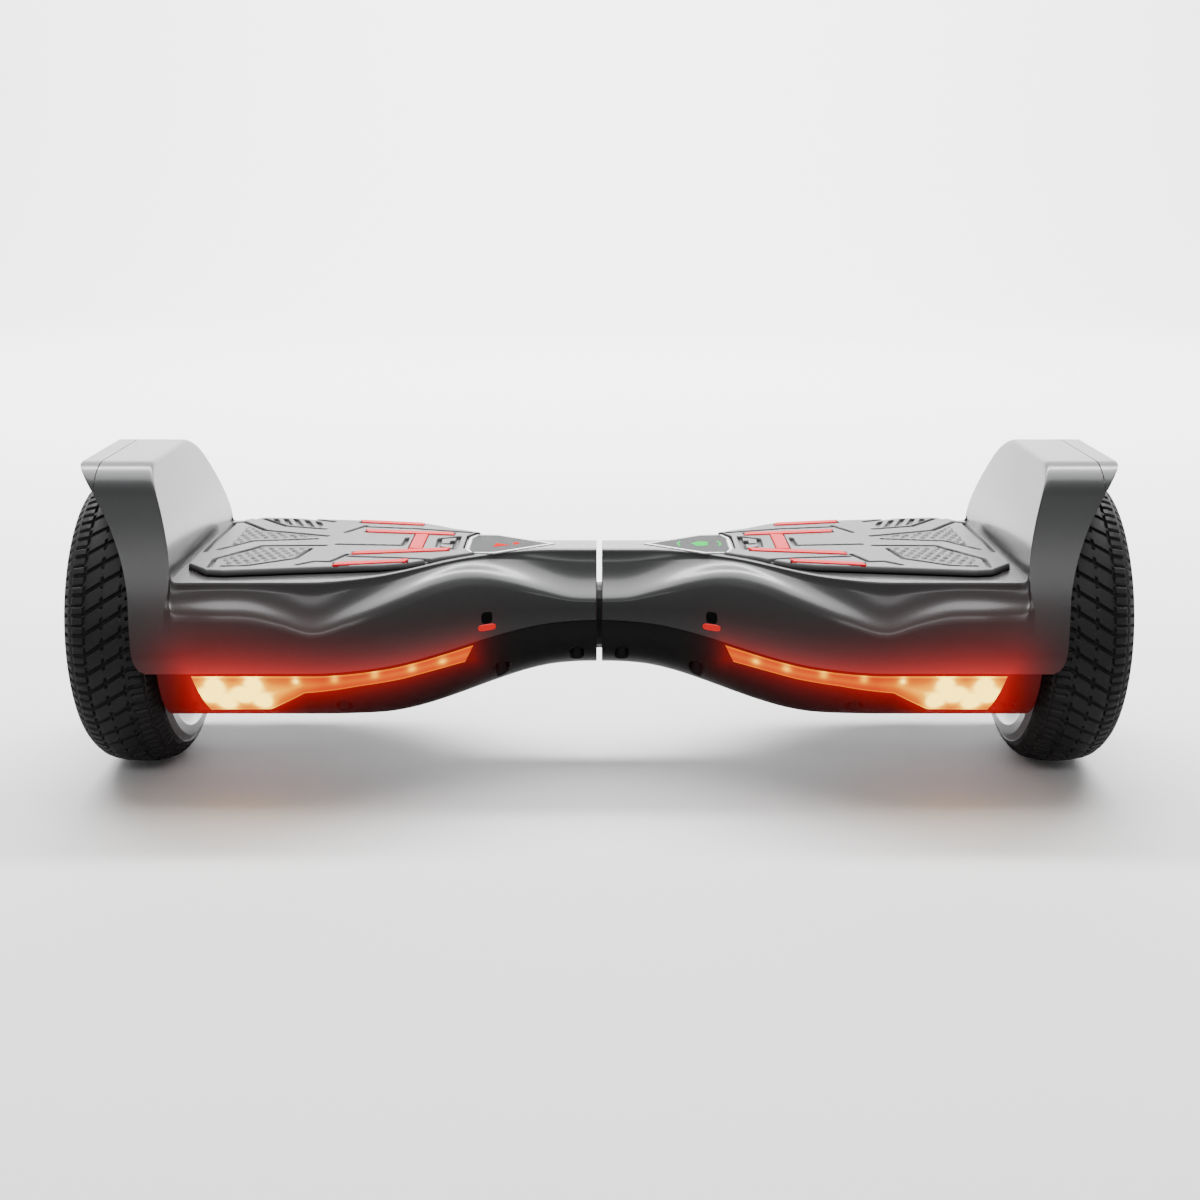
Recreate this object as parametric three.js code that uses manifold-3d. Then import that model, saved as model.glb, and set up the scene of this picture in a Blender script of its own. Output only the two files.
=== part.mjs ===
// Two-wheeled self balancing hoverboard: two foot platforms that twist against each other
// on a central tube, each with a hub-motor wheel, a fender arch and a lit foot deck.
//
// Frame: millimetres, +X along the board to the rider's right, +Y to the rear, +Z up.
// The origin lies on the floor, midway between the wheels.
// Each half is drawn on the +X side; the left one is the same drawing mirrored.

import * as THREE from "three";
import { mergeVertices } from "three/addons/utils/BufferGeometryUtils.js";
import Module from "manifold-3d";

const wasm = await Module();
wasm.setup();

// ---------------------------------------------------------------------------------------
// Driving dimensions
// ---------------------------------------------------------------------------------------

// Wheels: 6.5 inch class, with solid tyres.
const TRACK = 535.5; // between the two wheels' middle planes
const TYRE_RADIUS = 86;
const TYRE_WIDTH = 49.5;
const TYRE_SIDES = 32; // a multiple of four, so that each tyre stands on a flat
const TYRE_DEPTH = 18; // from the tread down to its seat on the rim
const RIM_PROUD = 3; // how far the motor's inner face stands out of the tyre
const BARREL_WALL = 4;
const COVER_WALL = 4;
const MAGNET_THICKNESS = 3;
const MAGNET_WIDTH = 30;
const AIR_GAP = 1; // between magnets and stator
const AXLE_RADIUS = 8;
const AXLE_BORE = 3.6; // the motor cable comes out of the axle's inner end
const MOTOR_CABLE_RADIUS = 2.6;
const BEARING_RADIUS = 15;
const BEARING_WIDTH = 9;

// Pivot between the two halves.
const HALF_GAP = 1.5; // half of the slit between the two housings
const PIVOT_RADIUS = 14;
const PIVOT_WALL = 4;
const PIVOT_REACH = 64; // from the middle to the end of the tube
const BUSH_WALL = 2.4;
const BOSS_WALL = 2.6;
const COLLAR_HALF_WIDTH = 6;
const TWIST_LIMIT = 12; // degrees each way
const STOP_REACH = 27; // the stop's finger, from the middle of the tube
const STOP_HALF = 3;
const STOP_LENGTH = 4;

// Housing. Heights are measured from the axle, up or down.
const SHELL_WALL = 3;
const RISER_WALL = 2.2; // the fender's inner wall, thin where the rim runs past it
const DECK_WALL = 5;
const KEEL_WALL = 5;
const NECK_RADIUS = 35; // half depth of the housing at the middle
const TYRE_GAP = 4; // fender to tyre, in front and behind
const CROWN_GAP = 10; // fender to tyre, above
const DECK_HEIGHT = 40.5;
const NECK_DECK_HEIGHT = 43;
const DECK_SETBACK = 16; // from the widest line in to the edge of the foot deck
const NECK_DECK_HALF = 12;
const BELLY_HEIGHT = 2; // the widest line
const NECK_BELLY_HEIGHT = 7.4;
const SEAM_DEPTH = 7; // where upper and lower shells meet
const NECK_SEAM_HEIGHT = 6.7;
const KEEL_DEPTH = 40.5;
const NECK_KEEL_DEPTH = 25;
const KEEL_HALF = 55; // half of the flat underside
const NECK_KEEL_HALF = 8;
const RISER_SETBACK = 11; // foot of the fender's inner wall, inboard of the tyre
const RISER_LEAN = 15; // how far that wall leans out over the tyre
const LEG_COVER = 8.6; // how far the fender's legs cover the tyre
const CROWN_COVER = 43.7; // how far the fender's crown covers the tyre
const CROWN_HALF = 35.5; // half of the flat on top of the fender
const TRIM_WIDTH = 10.7; // the separate outer strip of the crown
const WHEEL_GAP = 1.5; // housing end to spinning rim

// Height of the crease along the housing's flank: share of the housing's length, height.
const RIDGE = [
  [0, 19.5],
  [0.075, 20.5],
  [0.147, 25],
  [0.22, 32],
  [0.29, 36],
  [0.38, 35.3],
  [0.47, 30.5],
  [0.578, 22.7],
  [0.668, 17],
  [0.737, 23],
  [0.828, 27],
  [0.95, 27],
  [1.09, 27],
];

// Foot mat and what lies under it.
const MAT_PROUD = 4; // above the deck
const MAT_RECESS = 2.5; // into the deck
const MAT_TRAVEL = 1.2; // how far the rider's weight presses it
const MAT_END_GAP = 4; // to the fender's inner wall
const MAT_MARGIN = 0.6;
const PLATE_THICKNESS = 1.2;
const POST_WIDTH = 5;
const POST_LENGTH = 12;

// Display, lights, rear controls and inside parts.
const DISPLAY_TIP = 29.4; // from the middle of the board to the window's pointed end
const DISPLAY_LENGTH = 45.8;
const DISPLAY_HALF = 21.4;
const DISPLAY_THICKNESS = 2.2;
const DISPLAY_MARGIN = 3.5; // between the display and the mat's arms
const LIGHT_DROP = 1.2; // the light's upper edge below the seam
const LENS_THICKNESS = 2.4;
const MARKER_HALF = 3.6;
const BOARD_THICKNESS = 1.6;
const SOCKET_RADIUS = 8.5;
const SOCKET_BORE = 5.5;
const SOCKET_LENGTH = 14;
const WELL_WALL = 3; // round the wells of the socket and the button
const SOCKET_WELL = 16;
const CAP_RADIUS = 11;
const BUTTON_RADIUS = 6.5;
const BUTTON_WELL = 10;
const BUTTON_TRAVEL = 1.2;
const FRAME_WALL = 6;
const RAIL_WALL = 6;
const RAIL_HEIGHT = 27;
const TRAY_LIFT = 2.5; // the frame's tray above the lower shell's floor
const GYRO_HEIGHT = 12; // the gyro board above the axle
const SADDLE_HALF = 28;
const CLAMP_HALF = 20;
const CLAMP_LENGTH = 26;
const CELL_HEIGHT = 31; // the battery, two layers of cells lying flat
const CELL_HALF_WIDTH = 33;
const SPEAKER_RADIUS = 12;

const GAP = 0.3; // between pieces that touch
const RUN_GAP = 0.6; // between pieces that turn or slide past each other

// ---------------------------------------------------------------------------------------
// Places worked out from those sizes
// ---------------------------------------------------------------------------------------

const axleZ = TYRE_RADIUS;
const wheelX = TRACK / 2;
const tyreInner = wheelX - TYRE_WIDTH / 2;
const rimInner = tyreInner - RIM_PROUD;
const shellEnd = rimInner - WHEEL_GAP;
const riserFoot = tyreInner - RISER_SETBACK;
const legEdge = tyreInner + LEG_COVER;
const crownEdge = tyreInner + CROWN_COVER;
const rimRadius = TYRE_RADIUS - TYRE_DEPTH;
const bushRadius = PIVOT_RADIUS + BUSH_WALL + GAP;
const bossRadius = bushRadius + GAP + BOSS_WALL;
const bodyHalf = TYRE_RADIUS + TYRE_GAP + SHELL_WALL;
const deckHalf = bodyHalf - DECK_SETBACK;
const frameHalf = 0.62 * deckHalf;
const crownHeight = TYRE_RADIUS + CROWN_GAP + SHELL_WALL;
const FAR = 400; // longer than anything that is cut

const colours = {
  graphite: { color: 0x55575a, roughness: 0.35, metalness: 0.3 },
  black: { color: 0x1b1b1c, roughness: 0.5, metalness: 0.0 },
  rubber: { color: 0x3a3a3c, roughness: 0.85, metalness: 0.0 },
  red: { color: 0xc81f2c, roughness: 0.5, metalness: 0.0 },
  alloy: { color: 0xb9bbbe, roughness: 0.35, metalness: 0.9 },
  steel: { color: 0x8c8e92, roughness: 0.3, metalness: 1.0 },
  bronze: { color: 0x9a7440, roughness: 0.4, metalness: 0.9 },
  glass: { color: 0x303236, roughness: 0.1, metalness: 0.0 },
  amber: { color: 0xffa030, roughness: 0.2, metalness: 0.0 },
  circuit: { color: 0x1f5a34, roughness: 0.5, metalness: 0.0 },
  blue: { color: 0x2350a0, roughness: 0.4, metalness: 0.0 },
  copper: { color: 0xa8582c, roughness: 0.4, metalness: 0.8 },
};
const materials = {};
for (const [name, look] of Object.entries(colours)) {
  materials[name] = new THREE.MeshStandardMaterial(look);
}

// ---------------------------------------------------------------------------------------
// Solids
// ---------------------------------------------------------------------------------------

// A closed three.js geometry as a solid, with its faces turned outwards.
function solid(geometry) {
  const bare = new THREE.BufferGeometry();
  bare.setAttribute("position", geometry.getAttribute("position"));
  bare.setIndex(geometry.getIndex());
  const merged = mergeVertices(bare, 1e-4);
  const corners = new Uint32Array(merged.index.array);
  const points = new Float32Array(merged.attributes.position.array);
  const made = new wasm.Manifold(
    new wasm.Mesh({ numProp: 3, vertProperties: points, triVerts: corners }),
  );
  if (made.volume() >= 0) return made;
  for (let i = 0; i < corners.length; i += 3) {
    [corners[i + 1], corners[i + 2]] = [corners[i + 2], corners[i + 1]];
  }
  return new wasm.Manifold(
    new wasm.Mesh({ numProp: 3, vertProperties: points, triVerts: corners }),
  );
}

function meshOf(name, made, material) {
  const mesh = made.getMesh();
  const geometry = new THREE.BufferGeometry();
  geometry.setAttribute("position", new THREE.BufferAttribute(mesh.vertProperties, 3));
  geometry.setIndex(new THREE.BufferAttribute(mesh.triVerts, 1));
  geometry.computeVertexNormals();
  const result = new THREE.Mesh(geometry, materials[material]);
  result.name = name;
  return result;
}

function box(x0, x1, y0, y1, z0, z1) {
  const geometry = new THREE.BoxGeometry(x1 - x0, y1 - y0, z1 - z0);
  geometry.translate((x0 + x1) / 2, (y0 + y1) / 2, (z0 + z1) / 2);
  return solid(geometry);
}

// A turned piece about a line along X at height z: profile points are [radius, x].
function turned(profile, sides, z = axleZ) {
  const closed = [...profile];
  if (profile[0][0] > 0) closed.push(profile[0]);
  const points = closed.map(([radius, x]) => new THREE.Vector2(radius, x));
  const geometry = new THREE.LatheGeometry(points, sides, Math.PI / sides);
  geometry.rotateZ(-Math.PI / 2);
  geometry.translate(0, 0, z);
  return solid(geometry);
}

function ring(inner, outer, x0, x1, sides, z = axleZ) {
  return turned([[inner, x0], [outer, x0], [outer, x1], [inner, x1]], sides, z);
}

function rodX(radius, x0, x1, sides, z = axleZ) {
  return turned([[0, x0], [radius, x0], [radius, x1], [0, x1]], sides, z);
}

function rodAlong(axis, radius, from, to, centre, sides = 16) {
  const geometry = new THREE.CylinderGeometry(radius, radius, to - from, sides);
  geometry.translate(0, (from + to) / 2, 0);
  if (axis === "z") geometry.rotateX(Math.PI / 2);
  geometry.translate(...centre);
  return solid(geometry);
}

const PLANES = {
  // Outline across and up, thickness along Y.
  xz: new THREE.Matrix4().makeBasis(
    new THREE.Vector3(1, 0, 0),
    new THREE.Vector3(0, 0, 1),
    new THREE.Vector3(0, -1, 0),
  ),
  // Outline back and up, thickness along X.
  yz: new THREE.Matrix4().makeBasis(
    new THREE.Vector3(0, 1, 0),
    new THREE.Vector3(0, 0, 1),
    new THREE.Vector3(1, 0, 0),
  ),
  xy: new THREE.Matrix4(),
};

// An outline, as a THREE.Shape or a list of points, drawn in a plane and made thick from
// one place to another along that plane's normal axis.
function slab(plane, outline, from, to, curveSegments = 6) {
  const shape = Array.isArray(outline)
    ? new THREE.Shape(outline.map(([a, b]) => new THREE.Vector2(a, b)))
    : outline;
  const depth = to - from;
  const geometry = new THREE.ExtrudeGeometry(shape, { depth, bevelEnabled: false, curveSegments });
  geometry.translate(0, 0, plane === "xz" ? -to : from);
  geometry.applyMatrix4(PLANES[plane]);
  return solid(geometry);
}

// An outline with every edge moved outwards by a margin.
function grow(outline, margin) {
  const count = outline.length;
  let area = 0;
  for (let i = 0; i < count; i++) {
    const [xa, ya] = outline[i];
    const [xb, yb] = outline[(i + 1) % count];
    area += xa * yb - xb * ya;
  }
  const turn = Math.sign(area);
  const normal = (from, to) => {
    const length = Math.hypot(to[0] - from[0], to[1] - from[1]);
    return [(turn * (to[1] - from[1])) / length, (-turn * (to[0] - from[0])) / length];
  };
  return outline.map((point, i) => {
    const before = normal(outline[(i + count - 1) % count], point);
    const after = normal(point, outline[(i + 1) % count]);
    const scale = margin / (1 + before[0] * after[0] + before[1] * after[1]);
    return [point[0] + (before[0] + after[0]) * scale, point[1] + (before[1] + after[1]) * scale];
  });
}

// A cable of round section along points chosen by hand.
function cable(points, radius, steps) {
  const path = new THREE.CatmullRomCurve3(points.map((p) => new THREE.Vector3(...p)));
  const section = new THREE.Shape();
  section.absarc(0, 0, radius, 0, 2 * Math.PI);
  const options = { steps, extrudePath: path, curveSegments: 4, bevelEnabled: false };
  return solid(new THREE.ExtrudeGeometry(section, options));
}

// ---------------------------------------------------------------------------------------
// The housing's lines
// ---------------------------------------------------------------------------------------

const mix = (a, b, t) => a + (b - a) * t;

// Runs from a at the neck to b at the platform, between two shares of the length.
function ease(x, a, b, start, end) {
  const t = THREE.MathUtils.smoothstep(x / riserFoot, start, end);
  return mix(a, b, t);
}

const deckTop = (x) => axleZ + ease(x, NECK_DECK_HEIGHT, DECK_HEIGHT, 0.32, 0.54);
const deckEdge = (x) => ease(x, NECK_DECK_HALF, deckHalf, 0.12, 0.69);
const bellyHalf = (x) => ease(x, NECK_RADIUS, bodyHalf, 0.11, 0.67);
const bellyZ = (x) => axleZ + ease(x, NECK_BELLY_HEIGHT, BELLY_HEIGHT, 0.09, 0.52);
const seamZ = (x) => axleZ + ease(x, NECK_SEAM_HEIGHT, -SEAM_DEPTH, 0, 0.52);
const keelZ = (x) => axleZ - ease(x, NECK_KEEL_DEPTH, KEEL_DEPTH, 0.02, 0.52);
const keelHalf = (x) => ease(x, NECK_KEEL_HALF, KEEL_HALF, 0.09, 0.56);

function ridgeZ(x) {
  const share = x / riserFoot;
  const next = RIDGE.findIndex(([at]) => at > share);
  if (next < 1) return axleZ + RIDGE[next < 0 ? RIDGE.length - 1 : 0][1];
  const [from, low] = RIDGE[next - 1];
  const [to, high] = RIDGE[next];
  return axleZ + mix(low, high, (share - from) / (to - from));
}

// Half depth of the flank's full, convex curve at height z: an ellipse above the widest
// line and another below it.
function flankHalf(x, z) {
  const up = z > bellyZ(x);
  const inner = up ? deckEdge(x) : keelHalf(x);
  const reach = up ? deckTop(x) - bellyZ(x) : bellyZ(x) - keelZ(x);
  const share = Math.min(Math.abs(z - bellyZ(x)) / reach, 1);
  return inner + (bellyHalf(x) - inner) * Math.sqrt(1 - share * share);
}

// One side of the housing's section at x, from the middle of the deck to the middle of the
// keel: deck, lip, hollow down to the crease, convex flank, flat underside.
function halfSection(x) {
  const edge = deckEdge(x);
  const top = deckTop(x);
  const crease = ridgeZ(x);
  const creaseHalf = flankHalf(x, crease);
  const lip = [edge, top - 1.5];
  const hollow = new THREE.QuadraticBezierCurve(
    new THREE.Vector2(...lip),
    new THREE.Vector2(mix(edge, creaseHalf, 0.2), mix(crease, top, 0.25)),
    new THREE.Vector2(creaseHalf, crease),
  );
  const points = [[0, top], [edge - 3, top], lip];
  for (const t of [0.5, 1]) {
    points.push(hollow.getPoint(t).toArray());
  }
  for (const share of [0.5, 0]) {
    const z = mix(bellyZ(x), crease, share);
    points.push([flankHalf(x, z), z]);
  }
  for (const degrees of [22.5, 45, 67.5, 90]) {
    const z = mix(bellyZ(x), keelZ(x), Math.sin(THREE.MathUtils.degToRad(degrees)));
    points.push([flankHalf(x, z), z]);
  }
  points.push([0, keelZ(x)]);
  return points;
}

// The closed section at x, moved inwards by an inset; the deck and the keel may be thicker.
function section(x, inset, deckWall, keelWall) {
  const ceiling = deckTop(x) - deckWall;
  const floor = keelZ(x) + keelWall;
  const half = halfSection(x);
  const moved = half.map(([y, z], i) => {
    const [ya, za] = half[Math.max(i - 1, 0)];
    const [yb, zb] = half[Math.min(i + 1, half.length - 1)];
    const length = Math.hypot(yb - ya, zb - za);
    const inY = ((zb - za) / length) * inset;
    const inZ = (-(yb - ya) / length) * inset;
    const kept = THREE.MathUtils.clamp(z + inZ, floor, ceiling);
    return [y === 0 ? 0 : Math.max(y + inY, 0.5), kept];
  });
  const other = moved.slice(1, -1).reverse().map(([y, z]) => [-y, z]);
  return [...moved, ...other].map(([y, z]) => new THREE.Vector3(x, y, z));
}

// Skin through the sections at the crease's stations between two ends, closed at both.
function loft(from, to, inset = 0, deckWall = 0, keelWall = 0) {
  const inside = RIDGE.map(([share]) => share * riserFoot).filter((x) => x > from + 4 && x < to - 4);
  const stations = [from, ...inside, to];
  const rings = stations.map((x) => section(x, inset, deckWall, keelWall));
  const count = rings[0].length;
  const positions = rings.flat().flatMap((p) => p.toArray());
  positions.push(from, 0, bellyZ(from), to, 0, bellyZ(to));
  const first = rings.length * count;
  const faces = [];
  for (let i = 0; i < count; i++) {
    const j = (i + 1) % count;
    for (let s = 0; s + 1 < rings.length; s++) {
      const a = s * count;
      const b = a + count;
      faces.push(a + i, b + i, a + j, a + j, b + i, b + j);
    }
    const last = (rings.length - 1) * count;
    faces.push(first, i, j, first + 1, last + j, last + i);
  }
  const geometry = new THREE.BufferGeometry();
  geometry.setAttribute("position", new THREE.Float32BufferAttribute(positions, 3));
  geometry.setIndex(faces);
  return solid(geometry);
}

// Everything below the seam line, lowered or raised by half of the gap between the shells.
function belowSeam(shift) {
  const points = RIDGE.map(([share]) => [share * riserFoot, seamZ(share * riserFoot) + shift]);
  points.push([FAR, seamZ(riserFoot) + shift], [FAR, -FAR], [-FAR, -FAR], [-FAR, seamZ(0) + shift]);
  return slab("xz", points, -FAR, FAR);
}

// ---------------------------------------------------------------------------------------
// Housing of one half
// ---------------------------------------------------------------------------------------

// Side outline of the fender, drawn inwards by an inset: a flat crown, round corners and
// legs that widen down to the widest line.
function fenderOutline(inset) {
  const half = bodyHalf - inset;
  const top = crownHeight - inset;
  const foot = -SEAM_DEPTH;
  const corner = [half * 0.617, top * 0.85];
  const shape = new THREE.Shape();
  shape.moveTo(CROWN_HALF - inset / 2, axleZ + top);
  shape.quadraticCurveTo(half * 0.54, axleZ + top * 0.98, corner[0], axleZ + corner[1]);
  shape.quadraticCurveTo(half, axleZ + top * 0.195, half, axleZ);
  shape.lineTo(half, axleZ + foot);
  shape.lineTo(-half, axleZ + foot);
  shape.lineTo(-half, axleZ);
  shape.quadraticCurveTo(-half, axleZ + top * 0.195, -corner[0], axleZ + corner[1]);
  shape.quadraticCurveTo(-half * 0.54, axleZ + top * 0.98, inset / 2 - CROWN_HALF, axleZ + top);
  return shape;
}

// What lies outboard of the fender's inner wall, moved out by a shift, seen from the front.
function beyondRiser(shift) {
  const foot = riserFoot + shift;
  const head = foot + RISER_LEAN;
  const shape = new THREE.Shape();
  shape.moveTo(foot, -FAR);
  shape.lineTo(foot, axleZ + DECK_HEIGHT + 4);
  shape.quadraticCurveTo(foot, axleZ + crownHeight - 36, head, axleZ + crownHeight);
  shape.lineTo(head, FAR);
  shape.lineTo(FAR, FAR);
  shape.lineTo(FAR, -FAR);
  return slab("xz", shape, -FAR, FAR);
}

// What lies inboard of the fender's outer edge, which sweeps in from the crown to the legs
// and ends at the seam in a round corner.
function insideFenderEdge() {
  const seam = axleZ - SEAM_DEPTH;
  const shape = new THREE.Shape();
  shape.moveTo(-FAR, FAR);
  shape.lineTo(crownEdge, FAR);
  shape.lineTo(crownEdge, axleZ + crownHeight - 1);
  shape.quadraticCurveTo(legEdge + 7, axleZ + DECK_HEIGHT + 26, legEdge + 2, axleZ + 32);
  shape.lineTo(legEdge, axleZ + 6);
  shape.quadraticCurveTo(legEdge - 1, seam, legEdge - 9, seam);
  shape.lineTo(legEdge - 9, -FAR);
  shape.lineTo(-FAR, -FAR);
  return slab("xz", shape, -FAR, FAR);
}

// The space that the wheel turns in.
function wheelWell() {
  const under = slab("yz", fenderOutline(SHELL_WALL), shellEnd, FAR);
  const open = box(shellEnd, FAR, -bodyHalf + SHELL_WALL, bodyHalf - SHELL_WALL, -FAR, axleZ);
  return under.add(open).intersect(beyondRiser(RISER_WALL));
}

const matOuter = riserFoot - MAT_END_GAP;
const displayFoot = DISPLAY_TIP + DISPLAY_LENGTH;

// Window of the display: a six-sided wedge that points at the middle of the board.
const displayOutline = [
  [displayFoot, DISPLAY_HALF * 0.65],
  [displayFoot - 3.2, DISPLAY_HALF],
  [displayFoot - 14.4, DISPLAY_HALF],
  [DISPLAY_TIP, 0],
  [displayFoot - 14.4, -DISPLAY_HALF],
  [displayFoot - 3.2, -DISPLAY_HALF],
  [displayFoot, -DISPLAY_HALF * 0.65],
];

// Foot mat in plan: two arms either side of the display, waist, wide platform and cut
// corners.
function matOutline() {
  const inner = displayFoot - 7.2;
  const at = (along, across) => [mix(inner, matOuter, along), across * deckHalf];
  const side = [
    at(0, 0.325),
    at(0.13, 0.47),
    at(0.23, 0.65),
    at(0.33, 0.715),
    at(0.6, 0.79),
    at(0.86, 0.87),
    at(0.92, 0.845),
    at(1, 0.66),
  ];
  return [...side, ...side.map(([x, y]) => [x, -y]).reverse()];
}

// The mat's outline made thick, less the bay round the display.
function matSlab(margin, from, to) {
  const bay = slab("xy", grow(displayOutline, DISPLAY_MARGIN - margin), from - 1, to + 1);
  return slab("xy", grow(matOutline(), margin), from, to).subtract(bay);
}

// Openings through the mat that show the coloured plate: one bar across, two slanted bars
// in front of it and two behind, each as its place, size and slant.
function matBars(margin) {
  const bars = [
    { x: 0.2, y: 0, length: 6, width: 30, slant: 0 },
    { x: 0.25, y: 0.31, length: 52, width: 4.5, slant: 0.16 },
    { x: 0.34, y: 0.65, length: 38, width: 4.5, slant: 0.2 },
  ];
  const made = [];
  for (const { x, y, length, width, slant } of bars) {
    for (const sign of y === 0 ? [1] : [1, -1]) {
      const bar = new THREE.BoxGeometry(length + 2 * margin, width + 2 * margin, 30);
      bar.rotateZ(slant * sign);
      bar.translate(mix(displayFoot, matOuter, x), sign * y * deckHalf, deckTop(matOuter));
      made.push(solid(bar));
    }
  }
  return made.reduce((all, bar) => all.add(bar));
}

// Two posts carry the mat's movement down to the switches on the gyro board.
function postPlaces() {
  return [0.32, 0.82].map((share) => mix(boardStart, boardEnd, share));
}

function posts(margin, from, to) {
  const half = POST_WIDTH / 2 + margin;
  const long = POST_LENGTH / 2 + margin;
  const made = postPlaces().map((x) => box(x - half, x + half, -long, long, from, to));
  return made[0].add(made[1]);
}

// Front light in elevation: a long wedge under the seam, with a deep outer end.
const lightOutline = [
  ...[0.948, 0.8, 0.655, 0.515, 0.39, 0.306].map((share) => [
    share * riserFoot,
    seamZ(share * riserFoot) - LIGHT_DROP,
  ]),
  ...[
    [0.326, 12.6],
    [0.47, 15.8],
    [0.64, 18],
    [0.69, 19],
    [0.779, 31.6],
    [0.915, 32],
    [0.925, 30.3],
  ].map(([share, drop]) => [share * riserFoot, axleZ - drop]),
];

// A layer of the housing between two insets, cut to an outline seen from the front.
function frontPiece(outline, outer, inner) {
  const layer = loft(HALF_GAP + SHELL_WALL, shellEnd - SHELL_WALL, outer).subtract(
    loft(0, shellEnd, inner),
  );
  return layer.intersect(slab("xz", outline, -FAR, 0));
}

// Small red marker light on the upper shell's flank.
const markerX = 0.273 * riserFoot;
const markerZ = axleZ + 6;
const markerOutline = [
  [markerX - MARKER_HALF, markerZ - 1.8],
  [markerX + MARKER_HALF, markerZ - 1.2],
  [markerX + MARKER_HALF, markerZ + 1.8],
  [markerX - MARKER_HALF, markerZ + 1.2],
];

// Charging socket and power button, in round wells at the back of the right half.
const socketX = 0.51 * riserFoot;
const socketZ = axleZ - 22;
const socketFloor = flankHalf(socketX, socketZ) - 9.5;
const buttonX = 0.71 * riserFoot;
const buttonZ = axleZ - 20;
const buttonFloor = flankHalf(buttonX, buttonZ - BUTTON_WELL) - 1;
const hingeZ = socketZ + CAP_RADIUS + 1.8;
const hingeY = socketFloor + 1.9;

function rearWell(x, z, radius, floor) {
  const cup = rodAlong("y", radius + WELL_WALL, floor - WELL_WALL, FAR / 2, [x, 0, z], 20);
  const hollow = rodAlong("y", radius, floor, FAR / 2, [x, 0, z], 20);
  return { cup: cup.intersect(loft(HALF_GAP, shellEnd)), hollow };
}

// Screws come up through the lower shell's flank into deep round pockets.
const SCREWS = [0.24, 0.605, 0.965];
const SCREW_POCKET = 4;

function screwPlaces() {
  const places = [];
  for (const share of SCREWS) {
    const x = share * riserFoot - (share > 0.9 ? 2 : 0);
    const y = flankHalf(x, axleZ - 0.66 * KEEL_DEPTH) - SCREW_POCKET + 0.5;
    places.push([x, y], [x, -y]);
  }
  return places;
}

function housing(side) {
  const outer = loft(HALF_GAP, legEdge);
  const arch = slab("yz", fenderOutline(0), riserFoot, crownEdge).intersect(beyondRiser(0));
  const skin = outer.add(arch).intersect(insideFenderEdge());
  const inner = [HALF_GAP + SHELL_WALL, shellEnd - SHELL_WALL];
  const cavity = loft(...inner, SHELL_WALL, DECK_WALL, KEEL_WALL);
  const pivotHole = rodX(bossRadius + RUN_GAP + 0.6, 0, HALF_GAP + 2 * SHELL_WALL, 24);
  const shell = skin.subtract(cavity).subtract(wheelWell()).subtract(pivotHole);

  // Upper shell, with its recess for the mat and its windows.
  const deck = deckTop(matOuter);
  const axleRadius = AXLE_RADIUS + 1;
  const axleNotch = rodX(axleRadius, shellEnd - 2 * SHELL_WALL, FAR, 16).add(
    box(shellEnd - 2 * SHELL_WALL, FAR, -axleRadius, axleRadius, axleZ - 2 * SEAM_DEPTH, axleZ),
  );
  const lensSeat = deckTop(DISPLAY_TIP) - DISPLAY_THICKNESS - 0.2;
  const upperAll = shell
    .subtract(belowSeam(GAP / 2))
    .subtract(matSlab(MAT_MARGIN, deck - MAT_RECESS, deck + 2 * MAT_RECESS))
    .subtract(posts(0.8, deck - 2 * DECK_WALL, deck))
    .subtract(slab("xy", grow(displayOutline, GAP), lensSeat, lensSeat + 10))
    .subtract(slab("xy", grow(displayOutline, -4), lensSeat - 10, lensSeat + 10))
    .subtract(frontHole(markerOutline))
    .subtract(axleNotch);
  const seamX = crownEdge - TRIM_WIDTH;
  const trimCut = box(seamX - GAP / 2, FAR, -FAR, FAR, axleZ + DECK_HEIGHT, FAR);
  const upper = upperAll.subtract(trimCut);
  const trim = upperAll.intersect(box(seamX + GAP / 2, FAR, -FAR, FAR, axleZ + DECK_HEIGHT, FAR));

  // Lower shell, with its pillars, screw pockets and light window.
  let lower = shell.intersect(box(-1, shellEnd, -FAR, FAR, 0, FAR)).intersect(belowSeam(-GAP / 2));
  const inside = loft(HALF_GAP, shellEnd, 0.5).intersect(belowSeam(-GAP / 2));
  for (const [x, y] of screwPlaces()) {
    const roof = axleZ - 0.45 * KEEL_DEPTH;
    const radius = SCREW_POCKET;
    const pillar = rodAlong("z", radius + 2.4, 0, roof + 3, [x, y, 0], 8).intersect(inside);
    lower = lower.add(pillar).subtract(rodAlong("z", radius, 0, roof, [x, y, 0], 8));
  }
  lower = lower.subtract(frontHole(lightOutline)).subtract(axleNotch);
  if (side.hasControls) {
    const socket = rearWell(socketX, socketZ, SOCKET_WELL, socketFloor);
    const button = rearWell(buttonX, buttonZ, BUTTON_WELL, buttonFloor);
    const socketHole = rodAlong("y", SOCKET_RADIUS + GAP, 0, FAR, [socketX, 0, socketZ], 16);
    const buttonHole = rodAlong("y", BUTTON_RADIUS + GAP, 0, FAR, [buttonX, 0, buttonZ], 16);
    const under = belowSeam(-GAP / 2);
    lower = lower
      .add(socket.cup.intersect(under))
      .add(button.cup.intersect(under))
      .subtract(socket.hollow.intersect(under))
      .subtract(button.hollow.intersect(under))
      .subtract(socketHole)
      .subtract(buttonHole)
      .add(hingeEars());
  }
  return { upper, trim, lower };
}

// Window through the front of a shell for a piece of the given outline.
function frontHole(outline) {
  return slab("xz", grow(outline, GAP), -FAR, -NECK_RADIUS / 2);
}

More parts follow.
